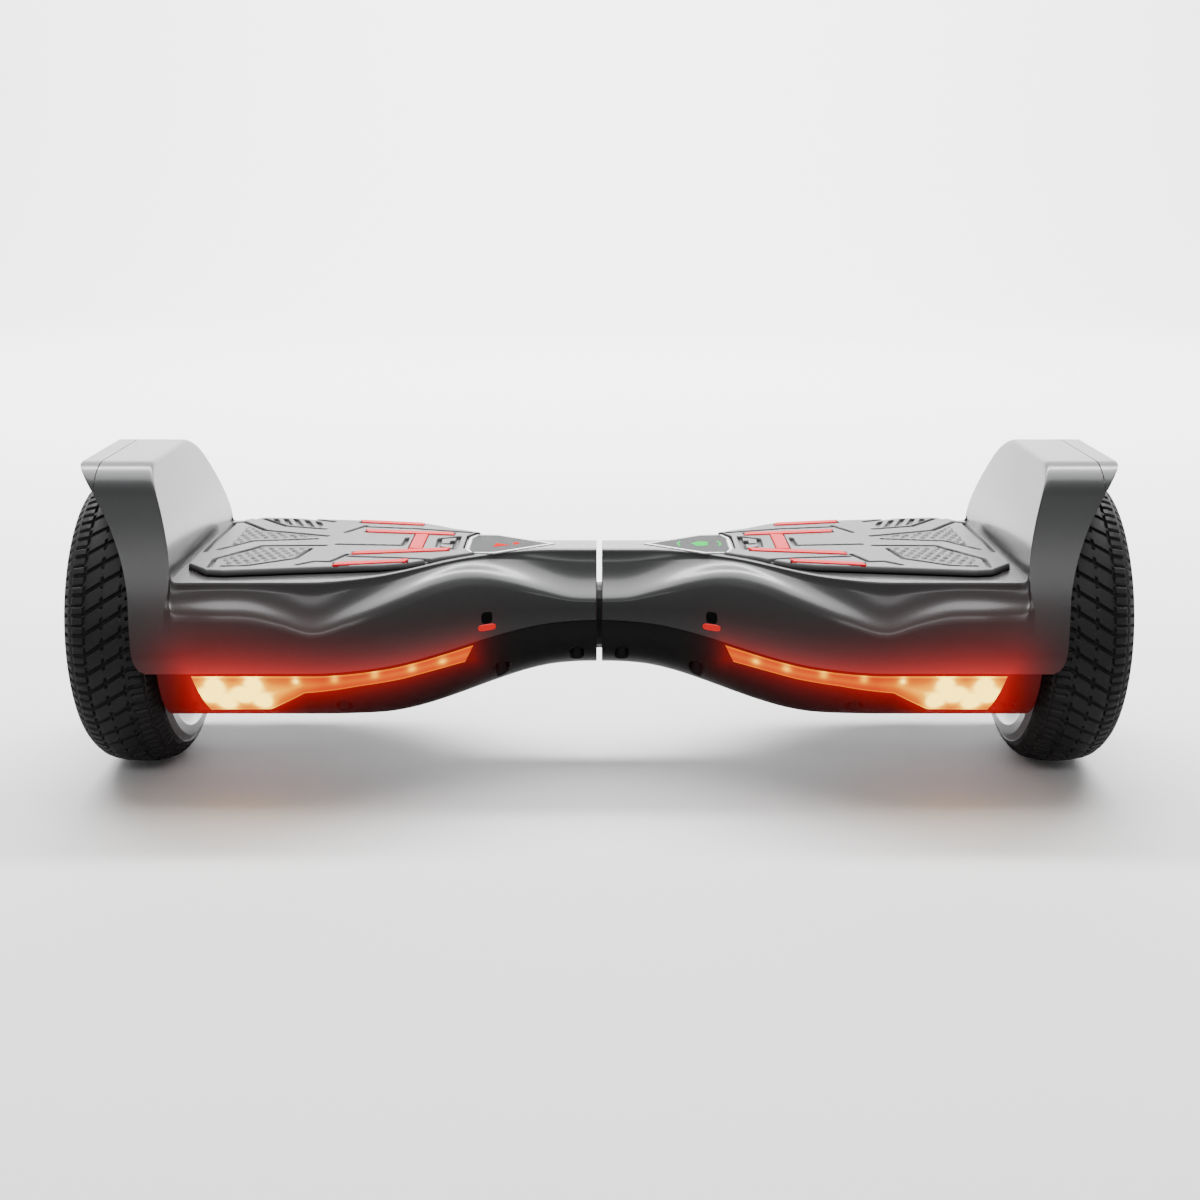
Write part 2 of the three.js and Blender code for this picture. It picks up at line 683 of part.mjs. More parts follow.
// Two ears in the socket's well hold the cap's hinge barrel.
function hingeEars() {
  const ears = [-1, 1].map((sign) => {
    const near = socketX + sign * (4 + RUN_GAP / 2);
    const far = near + sign * 2.6;
    const low = Math.min(near, far);
    const high = Math.max(near, far);
    return box(low, high, socketFloor - 1, hingeY + 1.8, hingeZ - 1.8, hingeZ + 1.8);
  });
  return ears[0].add(ears[1]);
}

// ---------------------------------------------------------------------------------------
// Frame and inside parts of one half
// ---------------------------------------------------------------------------------------

const frameStart = COLLAR_HALF_WIDTH + GAP;
const frameEnd = shellEnd - SHELL_WALL - 6;
const bossEnd = PIVOT_REACH - STOP_LENGTH - 3;
const trayStart = 0.42 * riserFoot;
const trayLow = axleZ - KEEL_DEPTH + KEEL_WALL + TRAY_LIFT;
const trayTop = trayLow + FRAME_WALL;
const clampStart = frameEnd - CLAMP_LENGTH;
const boardStart = 0.5 * riserFoot;
const boardEnd = 0.8 * riserFoot;
const gyroZ = axleZ + GYRO_HEIGHT;
const bridgeZ = gyroZ - 3;

// Cast frame: a boss round the central tube, two arms down to a tray for the electrics, two
// bridges over it for the gyro board and a saddle for the axle.
function frame(side) {
  let made = rodX(bossRadius, frameStart, bossEnd, 20);
  const pieces = [
    box(trayStart, frameEnd, -frameHalf, frameHalf, trayLow, trayTop),
    box(trayStart, trayStart + 5, -frameHalf, frameHalf, trayLow, axleZ - 4),
    box(clampStart, frameEnd, -SADDLE_HALF, SADDLE_HALF, trayLow, axleZ - GAP / 2),
  ];
  for (const sign of [-1, 1]) {
    const between = (near, far) => [Math.min(sign * near, sign * far), Math.max(sign * near, sign * far)];
    const rail = between(frameHalf - RAIL_WALL, frameHalf);
    pieces.push(box(trayStart, frameEnd, ...rail, trayLow, trayLow + RAIL_HEIGHT));
    const arm = [
      [bossEnd - 12, axleZ + 5],
      [bossEnd - 12, axleZ - 9],
      [trayStart + 2, trayLow + 8],
      [trayStart + 2, axleZ - 6],
    ];
    pieces.push(slab("xz", arm, ...between(PIVOT_RADIUS + 4.2, bossRadius + 3)));
    for (const x of [boardStart + 4, boardEnd - 4]) {
      pieces.push(box(x - 2.5, x + 2.5, ...rail, trayLow, bridgeZ));
      pieces.push(box(x - 2.5, x + 2.5, ...between(14, 18), bridgeZ - 1, gyroZ - GAP));
    }
  }
  for (const x of [boardStart + 4, boardEnd - 4]) {
    pieces.push(box(x - 2.5, x + 2.5, -frameHalf, frameHalf, bridgeZ - 4, bridgeZ));
  }
  made = pieces.reduce((all, piece) => all.add(piece), made);
  made = made.subtract(rodX(AXLE_RADIUS + GAP, clampStart - 1, frameEnd + 1, 16));
  const bore = side.hasBush ? bushRadius + GAP : PIVOT_RADIUS + GAP;
  made = made.subtract(rodX(bore, 0, bossEnd, 20));
  if (side.hasBush) {
    for (const sign of [-1, 1]) {
      const near = sign * stopGapHalf;
      const low = Math.min(near, sign * (stopGapHalf + 4));
      made = made.add(box(bossEnd - 8, stopEnd, low, low + 4, axleZ + bossRadius - 2.4, axleZ + STOP_REACH));
    }
  }
  return made;
}

// The twist stop: a finger on the tube's end between two posts of the right frame.
const stopStart = bossEnd + 1.5;
const stopEnd = stopStart + STOP_LENGTH;
const stopAngle = THREE.MathUtils.degToRad(TWIST_LIMIT);
const stopGapHalf = STOP_REACH * Math.sin(stopAngle) + STOP_HALF + RUN_GAP;

function twistStop() {
  const finger = box(stopStart, stopEnd, -STOP_HALF, STOP_HALF, axleZ + PIVOT_RADIUS + 1, axleZ + STOP_REACH);
  const hub = ring(PIVOT_RADIUS + GAP, PIVOT_RADIUS + 3, stopStart, stopEnd, 20);
  return hub.add(finger);
}

// Cap of the axle clamp.
function axleClamp() {
  const block = box(
    clampStart,
    frameEnd,
    -CLAMP_HALF,
    CLAMP_HALF,
    axleZ + GAP / 2,
    axleZ + AXLE_RADIUS + 7,
  );
  let made = block.subtract(rodX(AXLE_RADIUS + GAP, clampStart - 1, frameEnd + 1, 16));
  for (const y of [-14, 14]) {
    made = made.subtract(rodAlong("z", 3.4, 0, FAR, [(clampStart + frameEnd) / 2, y, 0], 8));
  }
  return made;
}

function clampBolt(sign) {
  const centre = [(clampStart + frameEnd) / 2, sign * 14, 0];
  const top = axleZ + AXLE_RADIUS + 7 + GAP;
  const head = rodAlong("z", 5, top, top + 5, centre, 8);
  return head.add(rodAlong("z", 3, axleZ + 2 * GAP, top + 1, centre, 8));
}

function gyroBoard() {
  const board = box(boardStart, boardEnd, -20, 20, gyroZ, gyroZ + BOARD_THICKNESS);
  const made = postPlaces().map((x) => box(x - 5, x + 5, -9, 9, gyroZ + 1, gyroZ + 5));
  return made.reduce((all, sensor) => all.add(sensor), board);
}

// Board on its cooling bar, with three capacitors standing on it.
function controlBoard() {
  const low = trayTop + 10;
  const start = boardStart - 8;
  let made = box(start, boardEnd + 8, -36, 30, low, low + BOARD_THICKNESS);
  made = made.add(box(boardStart, boardEnd, -34, -16, trayTop + GAP, low + 1));
  for (const x of [boardStart, boardStart + 20, boardStart + 40]) {
    made = made.add(rodAlong("z", 6, low + 1, low + 18, [x + 6, 8, 0], 10));
  }
  return made;
}

function batteryPack() {
  const low = trayTop + GAP;
  const top = low + CELL_HEIGHT;
  const half = CELL_HALF_WIDTH;
  const outline = [
    [-half, top - 4],
    [4 - half, top],
    [half - 4, top],
    [half, top - 4],
    [half, low + 4],
    [half - 4, low],
    [4 - half, low],
    [-half, low + 4],
  ];
  return slab("yz", outline, boardStart - 8, clampStart - 21);
}

function mat() {
  const deck = deckTop(matOuter);
  const low = deck - MAT_RECESS + MAT_TRAVEL + GAP + PLATE_THICKNESS + GAP;
  return matSlab(0, low, deck + MAT_PROUD).subtract(matBars(GAP));
}

// The coloured plate under the mat, with raised bars and the two switch posts.
function pressPlate() {
  const low = deckTop(matOuter) - MAT_RECESS + MAT_TRAVEL + GAP;
  const plate = matSlab(-2, low, low + PLATE_THICKNESS);
  const raised = matBars(0).intersect(box(0, FAR, -FAR, FAR, low + 0.1, low + MAT_RECESS + MAT_PROUD - 2));
  return plate.add(raised).add(posts(0, gyroZ + 5 + MAT_TRAVEL + RUN_GAP, low + 0.2));
}

function displayLens() {
  const top = deckTop(DISPLAY_TIP);
  return slab("xy", displayOutline, top - DISPLAY_THICKNESS, top);
}

function displayBoard() {
  const top = deckTop(DISPLAY_TIP) - DECK_WALL - 1;
  const half = 0.36 * DISPLAY_HALF;
  return box(DISPLAY_TIP + 12, displayFoot - 6, -half, half, top - BOARD_THICKNESS, top);
}

function lightBoard() {
  const strip = [0.9, 0.75, 0.6, 0.48, 0.37].map((share) => share * riserFoot);
  const upperRow = strip.map((x) => [x, seamZ(x) - 3]);
  const lowerRow = strip.map((x) => [x, seamZ(x) - 10]).reverse();
  return frontPiece([...upperRow, ...lowerRow], SHELL_WALL + 1.5, SHELL_WALL + 3);
}

// Out of the axle's end, over to the tray's rear rail and along it.
function motorCable() {
  const railY = frameHalf - RAIL_WALL - MOTOR_CABLE_RADIUS - 2;
  const points = [
    [clampStart + 12, 0, axleZ],
    [clampStart - 5, 0, axleZ],
    [clampStart - 9, 4, axleZ - 1],
    [clampStart - 10.5, 14, axleZ - 5],
    [clampStart - 11, 27, axleZ - 9],
    [clampStart - 20, railY, axleZ - 12],
    [mix(boardStart, boardEnd, 0.5), railY, axleZ - 13],
    [boardStart + 6, railY, axleZ - 14],
  ];
  return cable(points, MOTOR_CABLE_RADIUS, 14);
}

function speaker() {
  const centre = [frameEnd - 32, -frameHalf - GAP - SPEAKER_RADIUS, 0];
  const low = trayTop + 2;
  const magnet = rodAlong("z", SPEAKER_RADIUS - 4, low + 4, low + 13, centre, 16);
  return rodAlong("z", SPEAKER_RADIUS, low, low + 5, centre, 16).add(magnet);
}

function chargeSocket() {
  const mouth = socketFloor + 0.1;
  const back = mouth - SOCKET_LENGTH;
  const centre = [socketX, 0, socketZ];
  const body = rodAlong("y", SOCKET_RADIUS, back, mouth, centre, 16);
  const flange = rodAlong("y", SOCKET_RADIUS + 1.5, back, socketFloor - WELL_WALL - GAP, centre, 16);
  return body.add(flange).subtract(rodAlong("y", SOCKET_BORE, back + 2, mouth + 1, centre, 16));
}

function chargeCap() {
  const centre = [socketX, 0, socketZ];
  const low = socketFloor + GAP + 0.2;
  const disc = rodAlong("y", CAP_RADIUS, low, low + 2.4, centre, 16);
  const tab = box(socketX - 4, socketX + 4, low, low + 2.4, socketZ + CAP_RADIUS - 3, hingeZ);
  const barrel = rodX(1.5, socketX - 4, socketX + 4, 10, hingeZ).translate([0, hingeY, 0]);
  return disc.add(tab).add(barrel);
}

function powerButton() {
  const centre = [buttonX, 0, buttonZ];
  const back = buttonFloor - WELL_WALL - GAP;
  const stem = rodAlong("y", BUTTON_RADIUS, back - 3, buttonFloor + 3, centre, 16);
  return stem.add(rodAlong("y", BUTTON_RADIUS + 2, back - 3, back, centre, 16));
}

// ---------------------------------------------------------------------------------------
// Wheel with its hub motor
// ---------------------------------------------------------------------------------------

function wheel() {
  const half = TYRE_WIDTH / 2;
  const at = (profile) => profile.map(([radius, x]) => [radius, wheelX + x]);
  const facet = 1 / Math.cos(Math.PI / TYRE_SIDES);
  const outer = TYRE_RADIUS * facet;
  const seat = rimRadius + 2 * GAP;
  const tyreSide = [
    [outer, half - 16.5],
    [outer - 1.5, half - 10.5],
    [outer - 5.2, half - 4],
    [outer - 11.3, half],
    [seat + 2, half - 2.3],
    [seat, half - 4.5],
  ];
  const mirrored = tyreSide.map(([radius, x]) => [radius, -x]).reverse();
  const tyre = turned(at([...mirrored, ...tyreSide]), TYRE_SIDES);

  const seatBearing = BEARING_RADIUS + GAP;
  const bossWall = seatBearing + 3.5;
  const face = -half - RIM_PROUD;
  const bearingIn = -half + 9;
  const cavityRadius = rimRadius - BARREL_WALL;
  const rim = turned(
    at([
      [seatBearing, bearingIn],
      [seatBearing, face + 2.2],
      [seatBearing + 4.7, face + 1.2],
      [0.56 * rimRadius, face + 1.2],
      [0.6 * rimRadius, face + 3.4],
      [rimRadius - 8, face + 3.4],
      [rimRadius - 3, face],
      [rimRadius + 3, face],
      [rimRadius + 6.5, face + 2.5],
      [rimRadius + 2.3, -half + 1.7],
      [rimRadius, -half + 4.4],
      [rimRadius, half - 4.4],
      [rimRadius + 2.3, half - 1.6],
      [rimRadius + 5, half - 0.6],
      [rimRadius - 1, half],
      [cavityRadius, half - 2],
      [cavityRadius, face + 3.4 + COVER_WALL],
      [bossWall, face + 3.4 + COVER_WALL],
      [bossWall, bearingIn],
    ]),
    24,
  );

  const coverFace = half - 0.4;
  const bearingOut = half - 11.5;
  const cover = turned(
    at([
      [0, coverFace],
      [rimRadius - 14, coverFace],
      [rimRadius - 7, coverFace - 1],
      [cavityRadius - 3 * GAP, coverFace - 2.5],
      [cavityRadius - 3 * GAP, coverFace - 6],
      [rimRadius - 10, coverFace - 6],
      [rimRadius - 10, coverFace - COVER_WALL],
      [bossWall, coverFace - COVER_WALL],
      [bossWall, bearingOut],
      [seatBearing, bearingOut],
      [seatBearing, coverFace - 1.4],
      [0, coverFace - 1.4],
    ]),
    20,
  );

  const magnetOuter = cavityRadius - 2 * GAP;
  const magnetInner = magnetOuter - MAGNET_THICKNESS;
  const magnets = ring(
    magnetInner,
    magnetOuter,
    wheelX - MAGNET_WIDTH / 2,
    wheelX + MAGNET_WIDTH / 2,
    24,
  );
  const statorRadius = magnetInner - AIR_GAP;
  const windingFoot = statorRadius / 2;
  const stator = turned(
    at([
      [AXLE_RADIUS + 2 * GAP, 11],
      [AXLE_RADIUS + 2 * GAP, -11],
      [windingFoot - 4, -11],
      [windingFoot, -7],
      [windingFoot + 8, -12],
      [statorRadius, -12],
      [statorRadius, 12],
      [windingFoot + 8, 12],
      [windingFoot, 7],
      [windingFoot - 4, 11],
    ]),
    20,
  );

  const axleInner = clampStart - 2;
  const axleOuter = wheelX + coverFace - 2.2;
  const axle = turned(
    [
      [0, axleOuter],
      [AXLE_RADIUS, axleOuter],
      [AXLE_RADIUS, axleInner],
      [AXLE_BORE, axleInner],
      [AXLE_BORE, tyreInner + 12],
      [0, tyreInner + 12],
    ],
    16,
  );
  const bearing = (start) =>
    ring(AXLE_RADIUS + GAP, BEARING_RADIUS, wheelX + start, wheelX + start + BEARING_WIDTH, 16);
  return {
    tyre,
    rim,
    cover,
    magnets,
    stator,
    axle,
    bearingInner: bearing(bearingIn - BEARING_WIDTH - 0.5),
    bearingOuter: bearing(bearingOut + 0.2),
  };
}

// ---------------------------------------------------------------------------------------
// Assembly
// ---------------------------------------------------------------------------------------

const hoverboard = new THREE.Group();

const sides = [
  { name: "right", mirror: 1, hasBush: true, hasControls: true },
  { name: "left", mirror: -1, hasBush: false, hasControls: false },
];

for (const side of sides) {
  const half = new THREE.Group();
  half.scale.x = side.mirror;
  const add = (name, made, material) => half.add(meshOf(`${side.name}_${name}`, made, material));

  const { upper, trim, lower } = housing(side);
  add("upper_shell", upper, "graphite");
  add("fender_trim", trim, "graphite");
  add("lower_shell", lower, "black");
  add("foot_mat", mat(), "rubber");
  add("press_plate", pressPlate(), "red");
  add("display_lens", displayLens(), "glass");
  add("display_board", displayBoard(), "circuit");
  add("light_lens", frontPiece(lightOutline, 0.2, 0.2 + LENS_THICKNESS), "amber");
  add("light_board", lightBoard(), "circuit");
  add("side_marker", frontPiece(markerOutline, 1.2, SHELL_WALL), "red");
  add("frame", frame(side), "alloy");
  add("axle_clamp", axleClamp(), "alloy");
  add("clamp_bolt_front", clampBolt(-1), "steel");
  add("clamp_bolt_rear", clampBolt(1), "steel");
  add("gyro_board", gyroBoard(), "circuit");
  add("motor_cable", motorCable(), "black");

  const parts = wheel();
  add("tyre", parts.tyre, "rubber");
  add("rim", parts.rim, "alloy");
  add("outer_cover", parts.cover, "alloy");
  add("magnet_ring", parts.magnets, "steel");
  add("stator", parts.stator, "copper");
  add("axle", parts.axle, "steel");
  add("inner_bearing", parts.bearingInner, "steel");
  add("outer_bearing", parts.bearingOuter, "steel");

  if (side.hasControls) {
    half.add(meshOf("control_board", controlBoard(), "circuit"));
    half.add(meshOf("speaker", speaker(), "black"));
    half.add(meshOf("charge_socket", chargeSocket(), "black"));
    half.add(meshOf("charge_cap", chargeCap(), "rubber"));
    half.add(meshOf("power_button", powerButton(), "steel"));
  } else {
    half.add(meshOf("battery_pack", batteryPack(), "blue"));
  }
  hoverboard.add(half);
}

// The central tube is fixed in the left frame and turns in the right one's bush.
const tubeBore = PIVOT_RADIUS - PIVOT_WALL;
const leftEnd = -bossEnd;
hoverboard.add(meshOf("pivot_tube", ring(tubeBore, PIVOT_RADIUS, leftEnd, PIVOT_REACH, 20), "steel"));
hoverboard.add(
  meshOf(
    "pivot_bush",
    ring(PIVOT_RADIUS + GAP, bushRadius, frameStart, bossEnd, 20),
    "bronze",
  ),
);
hoverboard.add(
  meshOf(
    "pivot_collar",
    ring(PIVOT_RADIUS + GAP, bossRadius, -COLLAR_HALF_WIDTH, COLLAR_HALF_WIDTH, 20),
    "black",
  ),
);
hoverboard.add(meshOf("twist_stop", twistStop(), "steel"));
hoverboard.add(meshOf("centre_harness", rodX(6, leftEnd - 8, PIVOT_REACH + 6, 12), "black"));

export default hoverboard;
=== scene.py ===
import math

import bpy
import numpy as np
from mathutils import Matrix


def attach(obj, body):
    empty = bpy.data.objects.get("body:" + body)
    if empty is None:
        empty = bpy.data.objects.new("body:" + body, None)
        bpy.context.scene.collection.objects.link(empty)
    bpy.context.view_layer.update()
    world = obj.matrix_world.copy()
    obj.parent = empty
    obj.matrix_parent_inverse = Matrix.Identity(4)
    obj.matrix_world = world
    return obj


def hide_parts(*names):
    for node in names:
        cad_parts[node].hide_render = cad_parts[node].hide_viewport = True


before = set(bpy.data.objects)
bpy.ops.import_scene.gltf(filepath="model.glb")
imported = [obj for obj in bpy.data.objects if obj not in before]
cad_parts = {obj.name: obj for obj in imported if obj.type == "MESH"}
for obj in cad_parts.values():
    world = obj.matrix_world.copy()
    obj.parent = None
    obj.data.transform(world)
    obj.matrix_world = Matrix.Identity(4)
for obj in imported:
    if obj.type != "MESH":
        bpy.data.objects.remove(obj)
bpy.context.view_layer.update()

# ---------------------------------------------------------------------------------------
# Studio: a pale seamless floor that curves up behind, one broad soft light overhead and
# a front strip, with a dim surround so that the glossy shells keep dark fronts. The floor is
# paler to the camera than to reflections, which see it darken towards the front.
# ---------------------------------------------------------------------------------------

MM = 0.001


def make_mesh(name, points, faces, sharp=35.0):
    """A mesh from an array of points in millimetres and a list of faces."""
    mesh = bpy.data.meshes.new(name)
    mesh.from_pydata((np.asarray(points, float) * MM).tolist(), [], faces)
    mesh.update()
    mesh.polygons.foreach_set("use_smooth", np.ones(len(mesh.polygons), bool))
    mesh.set_sharp_from_angle(angle=math.radians(sharp))
    piece = bpy.data.objects.new(name, mesh)
    bpy.context.scene.collection.objects.link(piece)
    return piece


def grid_faces(rows, columns, first=0, around=False, along=False):
    """Quads between neighbouring points of a grid, joined up across either end if asked."""
    r = np.arange(rows if along else rows - 1)[:, None]
    c = np.arange(columns if around else columns - 1)[None, :]
    up, next_c = (r + 1) % rows, (c + 1) % columns
    quads = np.stack(np.broadcast_arrays(r * columns + c, up * columns + c,
                                         up * columns + next_c, r * columns + next_c), -1)
    return quads.reshape(-1, 4) + first


def new_material(name, color, roughness, metallic=0.0, **sockets):
    """A Principled material with its plain values set on the shader's own sockets."""
    material = bpy.data.materials.new(name)
    material.use_nodes = True
    shader = material.node_tree.nodes["Principled BSDF"]
    shader.inputs["Base Color"].default_value = (*color, 1)
    shader.inputs["Roughness"].default_value = roughness
    shader.inputs["Metallic"].default_value = metallic
    for key, value in sockets.items():
        shader.inputs[key.replace("_", " ")].default_value = value
    return material, material.node_tree, shader


floor_reach, floor_back, curve_radius, floor_rise = 4000.0, 2600.0, 900.0, 3600.0
floor_drop = 0.4         # keeps the tyres clear of the floor
turn = np.radians(np.linspace(0, 90, 25))
floor_y = np.concatenate([
    [-floor_reach], floor_back + curve_radius * np.sin(turn), [floor_back + curve_radius]])
floor_z = np.concatenate([[0.0], curve_radius * (1 - np.cos(turn)), [floor_rise]]) - floor_drop
floor_points = np.stack([
    np.broadcast_to(np.array([-floor_reach, floor_reach])[:, None], (2, len(floor_y))),
    np.broadcast_to(floor_y, (2, len(floor_y))),
    np.broadcast_to(floor_z, (2, len(floor_y)))], -1)
floor = make_mesh("floor", floor_points.reshape(-1, 3), grid_faces(2, len(floor_y)).tolist(), 80)
floor_material, _, _ = new_material("pale_floor", (0.9, 0.9, 0.9), 0.7, Specular_IOR_Level=0.2)
floor.data.materials.append(floor_material)
floor_nodes = floor_material.node_tree.nodes
floor_links = floor_material.node_tree.links
seen = floor_nodes.new("ShaderNodeLightPath").outputs["Is Camera Ray"]
floor_place = floor_nodes.new("ShaderNodeSeparateXYZ")
floor_links.new(floor_nodes.new("ShaderNodeTexCoord").outputs["Object"], floor_place.inputs[0])
behind = floor_nodes.new("ShaderNodeMapRange")
for socket, value in zip(behind.inputs[1:5], (-0.3, 0.9, 0.16, 0.9)):
    socket.default_value = value
floor_links.new(floor_place.outputs["Y"], behind.inputs[0])
lightness = floor_nodes.new("ShaderNodeMath")
lightness.operation = "MAXIMUM"
floor_links.new(behind.outputs[0], lightness.inputs[0])
shown = floor_nodes.new("ShaderNodeMath")
shown.operation = "MULTIPLY"
shown.inputs[1].default_value = 0.95
floor_links.new(seen, shown.inputs[0])
floor_links.new(shown.outputs[0], lightness.inputs[1])
floor_links.new(lightness.outputs[0], floor_nodes["Principled BSDF"].inputs["Base Color"])

for light_name, size, place, aim, power, color in (
    ("overhead", (2.4, 1.3), (0.0, 0.35, 1.7), (0, 0.05, 0.1), 44, (1, 1, 1)),
    ("backdrop_wash", (4.2, 1.0), (0.0, 1.3, 2.3), (0, 3.0, 0.3), 420, (1, 1, 1)),
    ("front_strip", (2.4, 0.35), (0.0, -1.9, 1.5), (0, 0, 0.1), 9, (1, 1, 1)),
):
    lamp = bpy.data.lights.new(light_name, "AREA")
    lamp.shape = "RECTANGLE"
    lamp.size, lamp.size_y = size
    lamp.energy = power
    lamp.color = color
    holder = bpy.data.objects.new(light_name, lamp)
    holder.location = place
    away = np.array(place) - np.array(aim)
    holder.rotation_euler = (
        math.atan2(math.hypot(away[0], away[1]), away[2]), 0, math.atan2(away[1], away[0]) + math.pi / 2)
    bpy.context.scene.collection.objects.link(holder)

world = bpy.data.worlds.new("surround")
bpy.context.scene.world = world
world.use_nodes = True
world.node_tree.nodes["Background"].inputs["Color"].default_value = (1, 1, 1, 1)
world.node_tree.nodes["Background"].inputs["Strength"].default_value = 0.3

camera_data = bpy.data.cameras.new("camera")
camera_data.lens = 48
camera_data.sensor_width = 36
camera_data.shift_x = 0.0006
camera = bpy.data.objects.new("camera", camera_data)
camera.location = (0, -0.9125, 0.3466)
camera.rotation_euler = (math.radians(90 - 15.41), 0, 0)
bpy.context.scene.collection.objects.link(camera)
bpy.context.scene.camera = camera

# ---------------------------------------------------------------------------------------
# Upper shells: two injection mouldings in metallic dark grey paint under a clear coat. Each
# carries the deck with its recess for the foot mat, the waisted flank with its crease, and
# the fender arch over the wheel. Screws from below hold them to the lower shells.
# ---------------------------------------------------------------------------------------

WALL = 3.0
AXLE_Z = 86.0
HALF_GAP = 1.5
RISER = 232.0            # foot of the fender's inner wall
BODY_HALF = 93.0         # half depth at the widest line
DECK_HALF = 77.0
CREASE = np.array([
    (0, 19.5), (17.4, 20.5), (34, 25), (51, 31), (67, 35.8), (78, 37.1), (90, 35.8), (109, 30.5),
    (134, 22.7), (155, 17.2), (171, 22.3), (188, 26.6), (205, 27.2), (220, 27), (260, 27)])
CROWN_TOP = AXLE_Z + 99.0
CROWN_HALF = 35.5
TRIM_SEAM = 276.0
CROWN_EDGE = 286.7
LEG_EDGE = 251.6


def mix(a, b, t):
    """The value a share t of the way from a to b."""
    return a + (b - a) * t


def ease(x, a, b, start, end):
    """From a to b between two shares of the housing's length, flat at both ends."""
    t = np.clip((x / RISER - start) / (end - start), 0, 1)
    return mix(a, b, t * t * (3 - 2 * t))


def through(x, knots):
    """A smooth line through knots: cubic pieces whose slope at a knot is its neighbours' slope."""
    at, value = knots[:, 0], knots[:, 1]
    slope = np.gradient(value, at)
    i = np.clip(np.searchsorted(at, x) - 1, 0, len(at) - 2)
    width = at[i + 1] - at[i]
    t = (x - at[i]) / width
    return ((1 + 2 * t) * (1 - t) ** 2 * value[i] + t * (1 - t) ** 2 * width * slope[i]
            + t * t * (3 - 2 * t) * value[i + 1] + t * t * (t - 1) * width * slope[i + 1])


def deck_top(x):
    """Height of the deck: it falls a little from the neck to the fender."""
    return AXLE_Z + ease(x, 43.0, 40.5, 0.32, 0.54)


def deck_edge(x):
    """Half depth of the deck, from the narrow neck to its full width."""
    return ease(x, 12.0, DECK_HALF, 0.12, 0.69)


def belly_half(x):
    """Half depth of the housing at its widest line."""
    return ease(x, 35.0, BODY_HALF, 0.11, 0.67)


def belly_z(x):
    """Height of the widest line."""
    return AXLE_Z + ease(x, 7.4, 2.0, 0.09, 0.52)


def seam_z(x):
    """Height of the seam between the upper and lower shells."""
    return AXLE_Z + ease(x, 6.7, -7.0, 0.0, 0.52)


def keel_z(x):
    """Height of the flat keel."""
    return AXLE_Z - ease(x, 25.0, 40.5, 0.02, 0.52)


def keel_half(x):
    """Half width of the flat keel."""
    return ease(x, 8.0, 55.0, 0.09, 0.56)


def crease_z(x):
    """Height of the crease, on a smooth line through its knots."""
    return AXLE_Z + through(x, CREASE)


def flank(x, z):
    """Half depth of the flank: one ellipse quarter above the widest line and one below it."""
    above = z > belly_z(x)
    inner = np.where(above, deck_edge(x), keel_half(x))
    reach = np.where(above, deck_top(x) - belly_z(x), belly_z(x) - keel_z(x))
    share = np.clip(np.abs(z - belly_z(x)) / reach, 0, 1)
    return inner + (belly_half(x) - inner) * np.sqrt(1 - share * share)


def bezier(a, b, c, t):
    """Quadratic curve from a to c that leaves and arrives along the lines to b."""
    return (1 - t) ** 2 * a + 2 * t * (1 - t) * b + t * t * c


def arch_line():
    """Side line of the fender from the seam up to the middle of its crown, as (depth, height)."""
    t = np.linspace(0, 1, 60)[:, None]
    foot = np.array([[BODY_HALF, 70.0]])
    hip = np.array([BODY_HALF, AXLE_Z])
    shoulder = np.array([0.617 * BODY_HALF, AXLE_Z + 0.85 * 99])
    lower = bezier(hip, np.array([BODY_HALF, AXLE_Z + 0.195 * 99]), shoulder, t)
    crown = np.array([CROWN_HALF, CROWN_TOP])
    upper = bezier(shoulder, np.array([0.54 * BODY_HALF, AXLE_Z + 0.98 * 99]), crown, t)
    flat = np.stack([np.linspace(CROWN_HALF, 0, 20), np.full(20, CROWN_TOP)], -1)
    return np.concatenate([foot, lower, upper[1:], flat[1:]])


ARCH = arch_line()
ARCH_RUN = np.concatenate([[0], np.cumsum(np.hypot(*np.diff(ARCH, axis=0).T))])


def arch_depth(z):
    """Half depth of the fender's side line at a height."""
    return np.interp(z, ARCH[:, 1], ARCH[:, 0])


def inner_wall(z):
    """How far out the fender's inner wall stands at a height: upright, then leaning out."""
    t = np.linspace(0, 1, 60)
    height = bezier(AXLE_Z + 44.5, AXLE_Z + 63.0, CROWN_TOP, t)
    out = bezier(RISER, RISER, RISER + 15, t)
    return np.interp(z, height, out)


def outer_edge(z):
    """How far out the fender's outer edge stands: round at the foot, swept out to the crown."""
    t = np.linspace(0, 1, 60)
    foot_z = bezier(AXLE_Z - 7, AXLE_Z - 7, AXLE_Z + 6, t)
    foot_x = bezier(LEG_EDGE - 9, LEG_EDGE - 1, LEG_EDGE, t)
    sweep_z = bezier(AXLE_Z + 32, AXLE_Z + 66.5, CROWN_TOP - 1, t)
    sweep_x = bezier(LEG_EDGE + 2, LEG_EDGE + 7, CROWN_EDGE, t)
    return np.interp(z, np.concatenate([foot_z, sweep_z]), np.concatenate([foot_x, sweep_x]))


# Outline of the foot mat: half depth along its length, and the bay round the display.
MAT_START, MAT_END = 68.0, 228.0
PAD_START = 71.4         # where the mat is wide enough to have arms
MAT_LINE = np.array([
    (0, 0.325), (0.13, 0.47), (0.23, 0.65), (0.33, 0.715), (0.6, 0.79), (0.86, 0.87), (0.92, 0.845),
    (1, 0.66)])
DISPLAY = np.array([(29.4, 0), (60.8, 21.4), (72, 21.4), (75.2, 13.9)])
BAY_MARGIN = 3.5
TRAY_Z = 124.0           # floor of the recess under the mat


